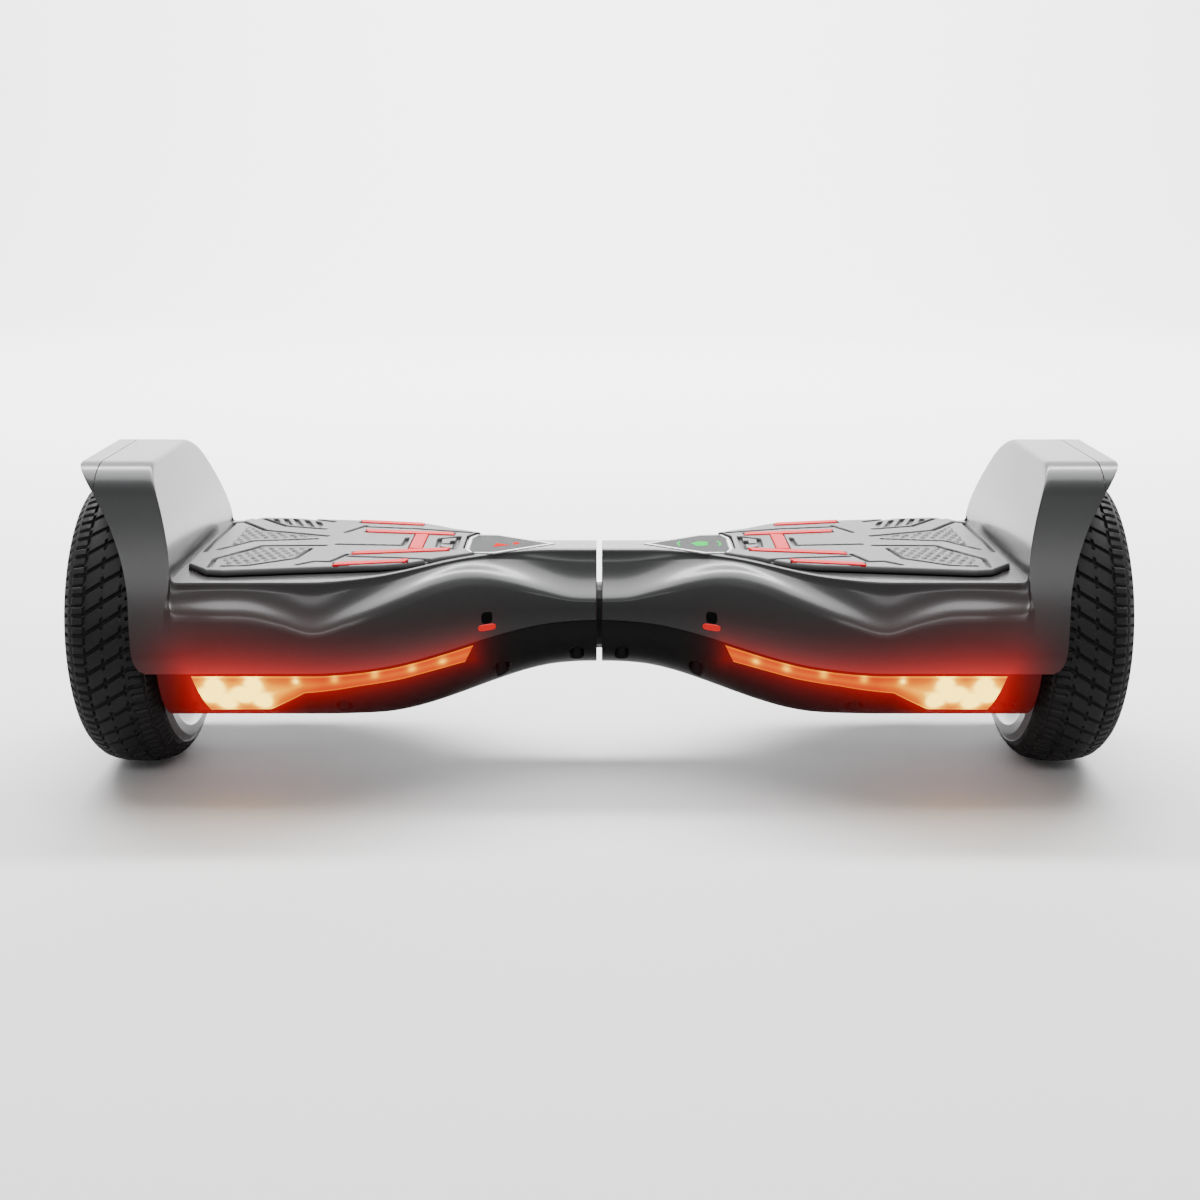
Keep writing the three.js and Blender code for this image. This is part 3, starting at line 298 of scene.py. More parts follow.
def mat_half(x):
    """Half depth of the mat's outline along its length."""
    return np.interp((x - MAT_START) / (MAT_END - MAT_START), MAT_LINE[:, 0], MAT_LINE[:, 1] * DECK_HALF)


def pad_half(x):
    """Half depth of the mat, kept clear of the deck's rounded lip."""
    return np.minimum(mat_half(x), deck_edge(x) - 3.3)


def bay_half(x, margin):
    """Half depth of the bay in the mat: the display's outline, widened by a margin."""
    moves = [(-margin * 1.7, 0), (-margin * 0.5, margin), (margin * 0.5, margin), (margin, margin * 0.5)]
    bay = DISPLAY + np.array(moves)
    return np.where(x > bay[-1, 0], 0.0, np.interp(x, bay[:, 0], bay[:, 1]))


SIDE_POINTS = 30     # across the flank, from the seam to the crease


def body_half_section(x, recess):
    """Depth and height across one half of the section at each x, from the seam up the flank,
    over the crease, through the hollow to the deck's lip, and in to the middle. Where recess
    is set the deck drops into the mat's tray."""
    x = x[:, None]
    t = np.linspace(0, 1, SIDE_POINTS)[None, :]
    side_z = mix(seam_z(x) + 0.2, crease_z(x), 1 - (1 - t) ** 1.25)
    side_y = flank(x, side_z)
    blend = np.clip((x - 200) / 32, 0, 1)
    blend = blend * blend * (3 - 2 * blend)
    side_y = mix(side_y, arch_depth(side_z), blend * (1 - 0.25 * t))
    crease_y = side_y[:, -1:]
    top, edge = deck_top(x), deck_edge(x)
    t = np.linspace(0, 1, 23)[None, 1:]
    hollow_y = bezier(crease_y, mix(edge, crease_y, 0.2), edge + 0.4, t)
    hollow_z = bezier(crease_z(x), mix(crease_z(x), top, 0.25), top - 1.7, t)
    t = np.linspace(0, 1, 9)[None, 1:]
    lip_y = bezier(edge + 0.4, edge + 0.2, edge - 2.2, t)
    lip_z = bezier(top - 1.7, top - 0.1, top, t)
    outer = np.where(recess[:, None], pad_half(x) + 0.6, edge - 6)
    inner = np.where(recess[:, None], bay_half(x, BAY_MARGIN - 0.6), 0.0)
    floor_drop = np.where(recess[:, None], top - TRAY_Z, 0.0)
    middle_drop = np.where(inner <= 0.0, floor_drop, 0.0)
    inner = np.maximum(inner, 0.6)
    t = np.linspace(0, 1, 8)[None, 1:]
    deck_y = mix(edge - 2.2, outer, t)
    t = np.linspace(0, 1, 13)[None, :]
    tray_y = mix(outer, inner, t)
    t = np.linspace(0, 1, 14)[None, :]
    middle_y = mix(inner, 0.0, t)
    drop = [0 * deck_y, floor_drop + 0 * tray_y, middle_drop + 0 * middle_y]
    flat_y = np.concatenate([deck_y, tray_y, middle_y], 1)
    flat_z = top - np.concatenate(drop, 1)
    return (np.concatenate([side_y, hollow_y, lip_y, flat_y], 1),
            np.concatenate([side_z, hollow_z, lip_z, flat_z], 1))


def both_halves(x, y, z):
    """The full section from a half: front seam, over the middle, to the back seam."""
    half = np.stack([x, -y, z], -1)
    back = (half * np.array([1, -1, 1]))[:, ::-1][:, 1:]
    return np.concatenate([half, back], 1)


def soften(points, first, last, times):
    """Each point between two columns moves to the mean of itself and its two neighbours."""
    for _ in range(times):
        inside = points[:, first - 1:last + 1]
        points[:, first:last] = (inside[:, :-2] + 2 * inside[:, 1:-1] + inside[:, 2:]) / 4


def relax(points, rows, columns, times):
    """Each point of a patch of the grid moves to the mean of its four neighbours."""
    for _ in range(times):
        r, c = slice(*rows), slice(*columns)
        up, down = slice(rows[0] - 1, rows[1] - 1), slice(rows[0] + 1, rows[1] + 1)
        left, right = slice(columns[0] - 1, columns[1] - 1), slice(columns[0] + 1, columns[1] + 1)
        points[r, c] = (points[up, c] + points[down, c] + points[r, left] + points[r, right]) / 4


def upper_surface():
    """Outer face of an upper shell as one grid: rows run from the pivot's hole out along the
    body, up the fender's inner wall and over the arch; columns run from seam to seam."""
    neck_x = np.concatenate([[HALF_GAP + 0.5], np.linspace(3, PAD_START - 0.6, 45)])
    tray_x = np.concatenate([
        [PAD_START - 0.6], np.linspace(72, 78, 8), [78.7, 78.71], np.linspace(80, MAT_END + 0.6, 96)])
    body_x = np.concatenate([neck_x, tray_x, [MAT_END + 0.6, RISER - 3.0]])
    recess = np.zeros(len(body_x), bool)
    recess[len(neck_x):len(neck_x) + len(tray_x)] = True
    y, z = body_half_section(body_x, recess)
    rows_x = np.repeat(body_x[:, None], y.shape[1], 1)

    # The rounded rim of the neck's end face, and its hole for the central tube.
    away_y, away_z = y[:1], z[:1] - AXLE_Z
    length = np.hypot(away_y, away_z)
    hole = 20.8
    rings = (hole, length - 1.2, length - 0.3)
    start_y = np.concatenate([away_y * ring / length for ring in rings])
    start_z = AXLE_Z + np.concatenate([away_z * ring / length for ring in rings])
    start_x = np.array([HALF_GAP, HALF_GAP, HALF_GAP + 0.12])[:, None] + 0 * start_y

    # Up the inner wall, with a round foot, and over the arch, with a round corner.
    columns = y.shape[1]
    run_start = np.interp(crease_z(RISER), ARCH[:, 1], ARCH_RUN)
    run = mix(run_start, ARCH_RUN[-1], np.linspace(0, 1, columns - SIDE_POINTS + 1)[1:])
    far_y = np.concatenate([arch_depth(z[-1, :SIDE_POINTS]), np.interp(run, ARCH_RUN, ARCH[:, 0])])
    far_z = np.concatenate([z[-1, :SIDE_POINTS], np.interp(run, ARCH_RUN, ARCH[:, 1])])
    far_x = inner_wall(far_z)
    wall_t = np.concatenate([[0.0], np.linspace(0.035, 0.97, 26)])[:, None]
    wall_y = mix(y[-1:], far_y[None, :], wall_t)
    wall_z = mix(z[-1:], far_z[None, :], wall_t)
    wall_x = inner_wall(wall_z)
    corner = np.linspace(0, 1, 7)[1:, None]
    round_x = bezier(wall_x[-1:], far_x[None, :] + 0 * corner, far_x[None, :] + 3.0, corner)
    round_y = bezier(wall_y[-1:], far_y[None, :] + 0 * corner, far_y[None, :], corner)
    round_z = bezier(wall_z[-1:], far_z[None, :] + 0 * corner, far_z[None, :], corner)
    count = len(wall_t) + len(corner)
    side_x = np.linspace(RISER - 2.9, RISER + 3.0, count)[:, None]
    up_x = np.concatenate([wall_x, round_x])
    up_y = np.concatenate([wall_y, round_y])
    up_z = np.concatenate([wall_z, round_z])
    past_crease = np.clip((np.arange(columns) - SIDE_POINTS + 1) / 6, 0, 1)
    up_x = mix(side_x, up_x, past_crease * past_crease * (3 - 2 * past_crease))
    end = np.where(far_z > AXLE_Z + 40, np.minimum(outer_edge(far_z), TRIM_SEAM - 0.3), outer_edge(far_z))
    along = np.concatenate([np.linspace(0, 1, 30)[1:-1], [1.0]])[:, None]
    over_x = mix(up_x[-1:], end[None, :], along)
    over_y = np.repeat(far_y[None, :], len(along), 0)
    over_z = np.repeat(far_z[None, :], len(along), 0)
    x = np.concatenate([start_x, rows_x, up_x, over_x])
    y = np.concatenate([start_y, y, up_y, over_y])
    z = np.concatenate([start_z, z, up_z, over_z])
    points = both_halves(x, y, z)
    body_rows = len(start_x) + len(body_x)
    body = points[:body_rows]
    for mirrored in (False, True):
        view = body[:, ::-1] if mirrored else body
        soften(view, SIDE_POINTS - 7, SIDE_POINTS + 17, 40)
        whole = points[:, ::-1] if mirrored else points
        relax(whole, (body_rows - 3, body_rows + 7), (SIDE_POINTS - 6, SIDE_POINTS + 26), 14)
    return points


def thicken(points, wall):
    """A grid surface as a closed shell: the same grid moved inwards along its normals by the
    wall's thickness, joined to the outer one round all four borders."""
    along = np.gradient(points, axis=0)
    across = np.gradient(points, axis=1)
    normal = np.cross(along, across)
    length = np.linalg.norm(normal, axis=-1, keepdims=True)
    normal = np.divide(normal, length, out=np.zeros_like(normal), where=length > 1e-9)
    for _ in range(3):
        padded = np.pad(normal, ((1, 1), (1, 1), (0, 0)), "edge")
        normal = (padded[1:-1, 1:-1] + padded[:-2, 1:-1] + padded[2:, 1:-1]
                  + padded[1:-1, :-2] + padded[1:-1, 2:])
        normal /= np.maximum(np.linalg.norm(normal, axis=-1, keepdims=True), 1e-9)
    rows, columns = points.shape[:2]
    inside = points - normal * wall
    outer = grid_faces(rows, columns)
    inner = grid_faces(rows, columns, rows * columns)[:, ::-1]
    index = np.arange(rows * columns).reshape(rows, columns)
    border = np.concatenate([index[0, :-1], index[:-1, -1], index[-1, :0:-1], index[:0:-1, 0]])
    after = np.roll(border, -1)
    shift = rows * columns
    rim = np.stack([border, border + shift, after + shift, after], -1)
    return np.concatenate([points.reshape(-1, 3), inside.reshape(-1, 3)]), np.concatenate([outer, inner, rim])


def shell_piece(name, bodies_of_points, side, material, sharp=32.0):
    """One object from closed bodies, each an array of points and its faces, mirrored for the
    left side, with doubled points merged and every body's faces turned outwards."""
    points, faces, first = [], [], 0
    for body_points, body_faces in bodies_of_points:
        body_points = np.array(body_points, float)
        body_points[:, 0] *= side
        body_faces = np.asarray(body_faces)
        if side < 0:
            body_faces = body_faces[:, ::-1]
        points.append(body_points)
        faces.append(body_faces + first)
        first += len(body_points)
    points, faces = np.concatenate(points), np.concatenate(faces)
    _, place, back = np.unique(np.round(points, 3), axis=0, return_index=True, return_inverse=True)
    faces = back.reshape(-1)[faces]
    points = points[place]
    kept = []
    for face in faces.tolist():
        face = [p for i, p in enumerate(face) if p != face[i - 1]]
        if len(set(face)) == len(face) > 2:
            kept.append(face)
    piece = make_mesh(name, points, kept, sharp)
    piece.data.validate()
    piece.data.materials.append(material)
    return piece


def whole_piece(name, bodies_of_points, material, side=1, sharp=32.0):
    """Closed bodies with mixed faces as one object, mirrored for the left side."""
    points, faces, first = [], [], 0
    for body_points, body_faces in bodies_of_points:
        body_points = np.array(body_points, float) * (side, 1, 1)
        for face in body_faces:
            face = [int(p) + first for p in face]
            faces.append(face[::-1] if side < 0 else face)
        points.append(body_points)
        first += len(body_points)
    piece = make_mesh(name, np.concatenate(points), faces, sharp)
    piece.data.materials.append(material)
    return piece


def put(tree, kind, **values):
    """A node with its sockets set, by name or as s0, s1 and so on by number: a value goes on
    the socket, an output socket is linked."""
    made = tree.nodes.new(kind)
    for key, value in values.items():
        if key in ("operation", "blend_type", "data_type", "attribute_name", "interpolation_type"):
            setattr(made, key, value)
            continue
        socket = made.inputs[int(key[1:]) if key.startswith("s") else key.replace("_", " ")]
        if isinstance(value, bpy.types.NodeSocket):
            tree.links.new(value, socket)
        else:
            socket.default_value = value
    return made


def new_group(name, inputs, outputs):
    """An empty shader group with named inputs (kind, default) and outputs (kind)."""
    group = bpy.data.node_groups.new(name, "ShaderNodeTree")
    for key, (kind, default) in inputs.items():
        group.interface.new_socket(key, in_out="INPUT", socket_type=kind).default_value = default
    for key, kind in outputs.items():
        group.interface.new_socket(key, in_out="OUTPUT", socket_type=kind)
    return group, group.nodes.new("NodeGroupInput").outputs, group.nodes.new("NodeGroupOutput").inputs


def grain_group():
    """Fine moulded or sprayed grain: noise of a given cell size in metres tilts the surface
    and shades the colour a little."""
    group, given, result = new_group(
        "grain",
        {"Color": ("NodeSocketColor", (1, 1, 1, 1)), "Cell": ("NodeSocketFloat", 0.001),
         "Shade": ("NodeSocketFloat", 0.1), "Bump": ("NodeSocketFloat", 0.2)},
        {"Color": "NodeSocketColor", "Value": "NodeSocketFloat", "Normal": "NodeSocketVector"})
    place = group.nodes.new("ShaderNodeTexCoord").outputs["Object"]
    scale = put(group, "ShaderNodeMath", operation="DIVIDE", s0=1.0, s1=given["Cell"])
    noise = put(group, "ShaderNodeTexNoise", Vector=place, Scale=scale.outputs[0], Detail=3.0, Roughness=0.6)
    centred = put(group, "ShaderNodeMath", operation="SUBTRACT", s0=noise.outputs["Fac"], s1=0.5)
    swing = put(group, "ShaderNodeMath", operation="MULTIPLY", s0=centred.outputs[0], s1=given["Shade"])
    gain = put(group, "ShaderNodeMath", operation="MULTIPLY_ADD", s0=swing.outputs[0], s1=2.0, s2=1.0)
    shade = put(group, "ShaderNodeVectorMath", operation="SCALE", s0=given["Color"], s3=gain.outputs[0])
    bump = put(group, "ShaderNodeBump", Strength=given["Bump"], Distance=0.0003, Height=noise.outputs["Fac"])
    group.links.new(shade.outputs[0], result["Color"])
    group.links.new(noise.outputs["Fac"], result["Value"])
    group.links.new(bump.outputs[0], result["Normal"])
    return group


def wear_group():
    """Handling marks: broad soft blotches and thin broken scratches, as one roughness value
    and one mask."""
    group, given, result = new_group(
        "wear",
        {"Roughness": ("NodeSocketFloat", 0.4), "Spread": ("NodeSocketFloat", 0.1)},
        {"Roughness": "NodeSocketFloat", "Mask": "NodeSocketFloat"})
    place = group.nodes.new("ShaderNodeTexCoord").outputs["Object"]
    broad = put(group, "ShaderNodeTexNoise", Vector=place, Scale=22.0, Detail=4.0, Roughness=0.55)
    stretch = put(group, "ShaderNodeVectorMath", operation="MULTIPLY", s0=place, s1=(60.0, 900.0, 300.0))
    lines = put(group, "ShaderNodeTexNoise", Vector=stretch.outputs[0], Scale=1.0, Detail=2.0, Roughness=0.7)
    thin = put(group, "ShaderNodeMapRange", s0=lines.outputs["Fac"], s1=0.66, s2=0.8)
    centred = put(group, "ShaderNodeMath", operation="SUBTRACT", s0=broad.outputs["Fac"], s1=0.45)
    both = put(group, "ShaderNodeMath", operation="MULTIPLY_ADD", s0=thin.outputs[0], s1=0.5,
               s2=centred.outputs[0])
    rough = put(group, "ShaderNodeMath", operation="MULTIPLY_ADD", s0=both.outputs[0], s1=given["Spread"],
                s2=given["Roughness"])
    group.links.new(rough.outputs[0], result["Roughness"])
    group.links.new(thin.outputs[0], result["Mask"])
    return group


GRAIN, WEAR = grain_group(), wear_group()


def finish_with(material, cell, shade, bump, spread, color=None):
    """Gives a Principled material its grain and its wear, and returns the grain node."""
    tree = material.node_tree
    shader = tree.nodes["Principled BSDF"]
    grain = tree.nodes.new("ShaderNodeGroup")
    grain.node_tree = GRAIN
    grain.inputs["Color"].default_value = shader.inputs["Base Color"].default_value
    if color is not None:
        tree.links.new(color, grain.inputs["Color"])
    grain.inputs["Cell"].default_value = cell
    grain.inputs["Shade"].default_value = shade
    grain.inputs["Bump"].default_value = bump
    wear = tree.nodes.new("ShaderNodeGroup")
    wear.node_tree = WEAR
    wear.inputs["Roughness"].default_value = shader.inputs["Roughness"].default_value
    wear.inputs["Spread"].default_value = spread
    tree.links.new(grain.outputs["Color"], shader.inputs["Base Color"])
    tree.links.new(grain.outputs["Normal"], shader.inputs["Normal"])
    tree.links.new(wear.outputs["Roughness"], shader.inputs["Roughness"])
    return grain


def add_values(piece, name, values):
    """Stores one number per vertex for the material to read."""
    attribute = piece.data.attributes.new(name, "FLOAT", "POINT")
    attribute.data.foreach_set("value", np.asarray(values, np.float32))


def vertices_of(piece):
    """The piece's vertices as an array, in millimetres."""
    flat = np.empty(len(piece.data.vertices) * 3)
    piece.data.vertices.foreach_get("co", flat)
    return flat.reshape(-1, 3) / MM


# Front light: where its lens lies on the lower shell, as height below the axle at each X.
LIGHT_IN, LIGHT_OUT = 71.0, 220.0
LIGHT_FOOT_IN, LIGHT_FOOT_OUT = 75.7, 214.0
LIGHT_LOW = np.array([
    (75.7, 12.6), (109, 15.8), (131, 16.3), (148, 17.9), (160, 19.1), (180.7, 31.6), (214, 32)])


def light_top(x):
    """Height of the lens's upper line, just below the seam."""
    return seam_z(x) - 1.4


def light_low(x):
    """Height of the lens's lower line."""
    return AXLE_Z - np.interp(x, LIGHT_LOW[:, 0], LIGHT_LOW[:, 1])


def halo(points):
    """The light's glow in the paint round it: falls off with the distance to its outline and
    is strongest at the wide outer end. Front side only."""
    x, y, z = np.abs(points[:, 0]), points[:, 1], points[:, 2]
    beside = np.maximum(np.maximum(x - LIGHT_OUT, LIGHT_IN - x), 0)
    above = np.maximum(z - light_top(x), 0)
    below = np.maximum(light_low(x) - z, 0)
    far = np.sqrt(beside ** 2 + above ** 2 + below ** 2)
    wide = np.clip((x - 60) / 140, 0, 1)
    glow = np.exp(-far / (5.0 + 4.5 * wide)) * (0.35 + 0.65 * wide)
    return glow * (y < -20)


def glow_from(material, name, color, strength):
    """Emission that follows a stored value."""
    tree = material.node_tree
    shader = tree.nodes["Principled BSDF"]
    value = put(tree, "ShaderNodeAttribute", attribute_name=name)
    tint = put(tree, "ShaderNodeVectorMath", operation="SCALE", s0=color, s3=value.outputs["Fac"])
    tree.links.new(tint.outputs[0], shader.inputs["Emission Color"])
    shader.inputs["Emission Strength"].default_value = strength


graphite, _, _ = new_material(
    "graphite_paint", (0.04, 0.041, 0.042), 0.4, 0.5, Coat_Weight=0.8, Coat_Roughness=0.2)
finish_with(graphite, 0.00035, 0.22, 0.05, 0.08)
glow_from(graphite, "halo", (1.0, 0.004, 0.001), 0.85)

for side_name, side in (("left", -1), ("right", 1)):
    shell = shell_piece(f"{side_name}_upper_skin", [thicken(upper_surface(), WALL)], side, graphite)
    add_values(shell, "halo", halo(vertices_of(shell)))
    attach(shell, f"{side_name}_half")
    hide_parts(f"{side_name}_upper_shell")

# ---------------------------------------------------------------------------------------
# Fender trims: the narrow outer strip of each crown, moulded apart in the same paint and
# clipped on, so that a fine dark joint runs across the top of the fender.
# ---------------------------------------------------------------------------------------


EDGE_LEAN = 0.8          # how far the trim's outer edge leans in


def trim_surface():
    """The arch between the joint and the crown's outer edge, with the edge leaning in:
    columns follow the arch where it reaches past the joint, rows run outwards."""
    run = np.linspace(0, ARCH_RUN[-1], 900)
    z = np.interp(run, ARCH_RUN, ARCH[:, 1])
    y = np.interp(run, ARCH_RUN, ARCH[:, 0])
    keep = outer_edge(z) > TRIM_SEAM + 1.2
    run = np.linspace(run[keep][0], ARCH_RUN[-1], 40)
    z, y = np.interp(run, ARCH_RUN, ARCH[:, 1]), np.interp(run, ARCH_RUN, ARCH[:, 0])
    rise, run_in = np.gradient(z), -np.gradient(y)
    inward = rise / np.hypot(rise, run_in)
    rows = []
    for share, roll in ((0, 0), (0.25, 0), (0.5, 0), (0.75, 0), (0.9, 0.05), (0.97, 0.35), (1, 1.0)):
        x = mix(TRIM_SEAM + 0.3, outer_edge(z), share)
        rows.append(np.stack([x, y - inward * roll * EDGE_LEAN, z], 0))
    rows = np.stack(rows)
    return both_halves(rows[:, 0], rows[:, 1], rows[:, 2])


for side_name, side in (("left", -1), ("right", 1)):
    trim = shell_piece(f"{side_name}_trim_strip", [thicken(trim_surface(), WALL)], side, graphite)
    add_values(trim, "halo", np.zeros(len(trim.data.vertices)))
    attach(trim, f"{side_name}_half")
    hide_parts(f"{side_name}_fender_trim")

# ---------------------------------------------------------------------------------------
# Lower shells: black satin mouldings that carry everything. The flat keel, the rounded
# flank with its deep screw pockets and the pocket for the front light are one piece.
# ---------------------------------------------------------------------------------------

POCKETS = (12.9, 55.6, 140.4, 220.0)
POCKET_RADIUS = 4.0
POCKET_STEPS = (-1.01, -0.99, -0.9, -0.7, -0.4, 0, 0.4, 0.7, 0.9, 0.99, 1.01)   # shares of the radius
LOWER_WALL = 2.4


def lower_surface():
    """Outer face of a lower shell: rows run from the pivot's hole to the closed outer end,
    columns from the front seam under the keel to the back seam. Round the screws the face
    steps in to the wall of an upright round pocket."""
    near = [p + POCKET_RADIUS * s for p in POCKETS for s in POCKET_STEPS]
    x = np.unique(np.round(np.concatenate([[1.5, 2.2], np.linspace(3.5, 238.5, 170), near]), 3))
    x = x[:, None]
    t = np.linspace(0, 1, 60)[None, :]
    low, high = keel_z(x), seam_z(x) - 0.2
    depth_at = np.clip((belly_z(x) - high) / (belly_z(x) - low), 0, 1)
    start = np.arcsin(depth_at)
    sweep = mix(start, math.pi / 2, t)
    side_z = belly_z(x) + (low - belly_z(x)) * np.sin(sweep)
    side_y = keel_half(x) + (belly_half(x) - keel_half(x)) * np.cos(sweep)
    for pocket in POCKETS:
        screw_y = flank(np.array([pocket]), keel_z(np.array([pocket])) + 14.0)[0] - POCKET_RADIUS + 0.5
        roof = keel_z(np.array([pocket]))[0] + 15.0
        inside = (np.abs(x - pocket) < POCKET_RADIUS) & (side_z < roof - np.abs(x - pocket) * 0.6)
        wall = screw_y - np.sqrt(np.clip(POCKET_RADIUS ** 2 - (x - pocket) ** 2, 0, None))
        side_y = np.where(inside & (side_y > wall), np.maximum(wall, keel_half(x) + 0.5), side_y)
    keel_t = np.linspace(1, 0, 12)[None, 1:]
    keel_y = keel_half(x) * keel_t
    keel = low + 0 * keel_y
    y = np.concatenate([side_y, keel_y], 1)
    z = np.concatenate([side_z, keel], 1)
    rows_x = x + 0 * y
    away_y, away_z = y[:1], z[:1] - AXLE_Z
    length = np.hypot(away_y, away_z)
    end_t = np.linspace(0, 1, 12)[1:, None]
    end_y = np.repeat(y[-1:], 11, 0) * mix(1, 0.96, end_t)
    end_z = mix(z[-1:], seam_z(238.5) - 0.2, end_t)
    x_all = np.concatenate([0 * length + 1.5, rows_x, 238.5 + 0 * end_y])
    y_all = np.concatenate([away_y * 20.8 / length, y, end_y])
    z_all = np.concatenate([AXLE_Z + away_z * 20.8 / length, z, end_z])
    return both_halves(x_all, y_all, z_all)


black, _, _ = new_material("black_plastic", (0.006, 0.006, 0.0065), 0.38, 0.0, Specular_IOR_Level=0.22)
finish_with(black, 0.0006, 0.3, 0.12, 0.15)
glow_from(black, "halo", (1.0, 0.006, 0.002), 0.55)

CAP_HINGE = (118.32, 69.0, 76.8)   # middle of the charging cap's hinge line
EAR_OFFSET, EAR_HALF, EAR_RADIUS, EAR_ROOT = 6.0, 1.2, 1.7, 3.0
WELLS = ((118.32, 64.0, 16.0, 67.1, 6.6), (164.7, 66.0, 10.0, 70.9, 6.9))   # X, Z, radius, floor, hole
CORE_MIDDLE, CORE_FROM, CORE_TO = 0.01, 60, 110   # the cutter of a well, front to back


def round_body(profile, x, z, sides=72):
    """A closed body of revolution round a line that runs front to back, from (radius, Y)."""
    profile = np.asarray(profile, float)
    angle = np.arange(sides) * 2 * math.pi / sides
    radius = profile[:, :1]
    y = np.repeat(profile[:, 1:], sides, 1)
    points = np.stack([x + radius * np.cos(angle), y, z + radius * np.sin(angle)], -1)
    return points.reshape(-1, 3), grid_faces(len(profile), sides, around=True, along=True)


def cut_away(piece, tool, sharp):
    """Takes the tool's volume from the piece and removes the tool."""
    cutter = piece.modifiers.new("well", "BOOLEAN")
    cutter.operation = "DIFFERENCE"
    cutter.solver = "EXACT"
    cutter.object = tool
    bpy.context.view_layer.update()
    result = bpy.data.meshes.new_from_object(piece.evaluated_get(bpy.context.evaluated_depsgraph_get()))
    piece.modifiers.remove(cutter)
    piece.data = result
    bpy.data.objects.remove(tool)
    piece.data.set_sharp_from_angle(angle=math.radians(sharp))


def well_cup(x, z, radius, floor_y, hole):
    """The wall and floor of a round well with a hole in its floor, turned from its profile."""
    beside = flank(np.array([x - radius]), np.array([z]))[0]
    below = flank(np.array([x]), np.array([z - radius]))[0]
    low = min(beside, below) - 0.6
    profile = [(hole, floor_y), (radius - 1.6, floor_y), (radius - 0.8, floor_y + 0.8),
               (radius - 0.5, low), (radius + 0.9, low - 0.4), (radius + 0.9, floor_y - 1.6),
               (hole, floor_y - 1.6)]
    return round_body(profile, x, z)


def hinge_ear(sign):
    """One ear of the cap's hinge: a half round on the hinge line with a straight root into the
    well's floor, carried across the ear's width and capped at both ends."""
    hinge_x, hinge_y, hinge_z = CAP_HINGE
    turn = np.radians(np.linspace(-90, 90, 13))
    profile = np.concatenate([
        [(hinge_y - EAR_ROOT, hinge_z - EAR_RADIUS)],
        np.stack([hinge_y + EAR_RADIUS * np.cos(turn), hinge_z + EAR_RADIUS * np.sin(turn)], -1),
        [(hinge_y - EAR_ROOT, hinge_z + EAR_RADIUS)]])
    count = len(profile)
    middle = hinge_x + sign * EAR_OFFSET
    ends = [np.column_stack([np.full(count, middle + w), profile]) for w in (-EAR_HALF, EAR_HALF)]
    faces = grid_faces(2, count, around=True)[:, ::-1].tolist()
    return np.concatenate(ends), faces + [list(range(count))[::-1], list(range(count, 2 * count))]


for side_name, side in (("left", -1), ("right", 1)):
    surface = lower_surface()[:, ::-1]
    shell = shell_piece(f"{side_name}_lower_skin", [thicken(surface, LOWER_WALL)], side, black, 40)
    if side > 0:
        for x, z, radius, floor_y, hole in WELLS:
            core = [(CORE_MIDDLE, CORE_FROM), (radius, CORE_FROM), (radius, CORE_TO), (CORE_MIDDLE, CORE_TO)]
            tool = shell_piece("well_core", [round_body(core, x, z)], 1, black)
            cut_away(shell, tool, 40)
        cups = shell_piece("control_wells", [well_cup(*well) for well in WELLS], 1, black)
        ears = whole_piece("cap_hinge_ears", [hinge_ear(sign) for sign in (-1, 1)], black)
        for piece in (cups, ears):
            add_values(piece, "halo", np.zeros(len(piece.data.vertices)))
            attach(piece, "right_half")
    add_values(shell, "halo", halo(vertices_of(shell)))
    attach(shell, f"{side_name}_half")
    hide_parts(f"{side_name}_lower_shell")

# ---------------------------------------------------------------------------------------
# Bulkheads: the black inner panel of each wheel well, screwed behind the wheel. It closes
# the housing between the seam and the deck.
# ---------------------------------------------------------------------------------------

for side_name, side in (("left", -1), ("right", 1)):
    height = np.linspace(AXLE_Z - 6.4, AXLE_Z + 84, 30)
    across = np.linspace(-1, 1, 41)
    panel_z = np.repeat(height[:, None], 41, 1)
    panel_y = across[None, :] * (arch_depth(panel_z) - WALL - 0.4)
    panel_x = np.maximum(inner_wall(panel_z) + 2.6, 236.8)
    panel = shell_piece(
        f"{side_name}_well_panel", [thicken(np.stack([panel_x, panel_y, panel_z], -1), 1.2)], side, black)
    add_values(panel, "halo", np.zeros(len(panel.data.vertices)))
    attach(panel, f"{side_name}_half")

# ---------------------------------------------------------------------------------------
# Front lights: a clear lens lies almost flush in the lower shell over a board of diodes.
# It shines from white and yellow at the wide outer end to orange and red at the tip.
# ---------------------------------------------------------------------------------------

DIODES = np.array([
    (208.3, 73.1), (187.1, 73.8), (163.8, 75.1), (143.1, 75.7), (122.3, 75.9), (103.3, 75.8),
    (87.4, 76.6), (203.2, 59.2), (183, 60), (193, 66), (211, 66)])


def light_surface():
    """The lens as a patch between its upper and lower lines, on the flank's own curve and
    domed by half a millimetre inside its border."""
    s = np.linspace(0, 1, 240)[None, :]
    t = np.linspace(0, 1, 36)[:, None]
    x = mix(mix(LIGHT_IN, LIGHT_OUT, s), mix(LIGHT_FOOT_IN, LIGHT_FOOT_OUT, s), t)
    z = mix(light_top(x), light_low(x), t)
    tall = light_top(x) - light_low(x)
    border = np.minimum(np.minimum(t, 1 - t) * tall, np.minimum(s, 1 - s) * 145)
    dome = 0.15 + 0.55 * np.sqrt(np.clip(border / 1.2, 0, 1))
    return np.stack([x, -(flank(x, z) + dome), z], -1)


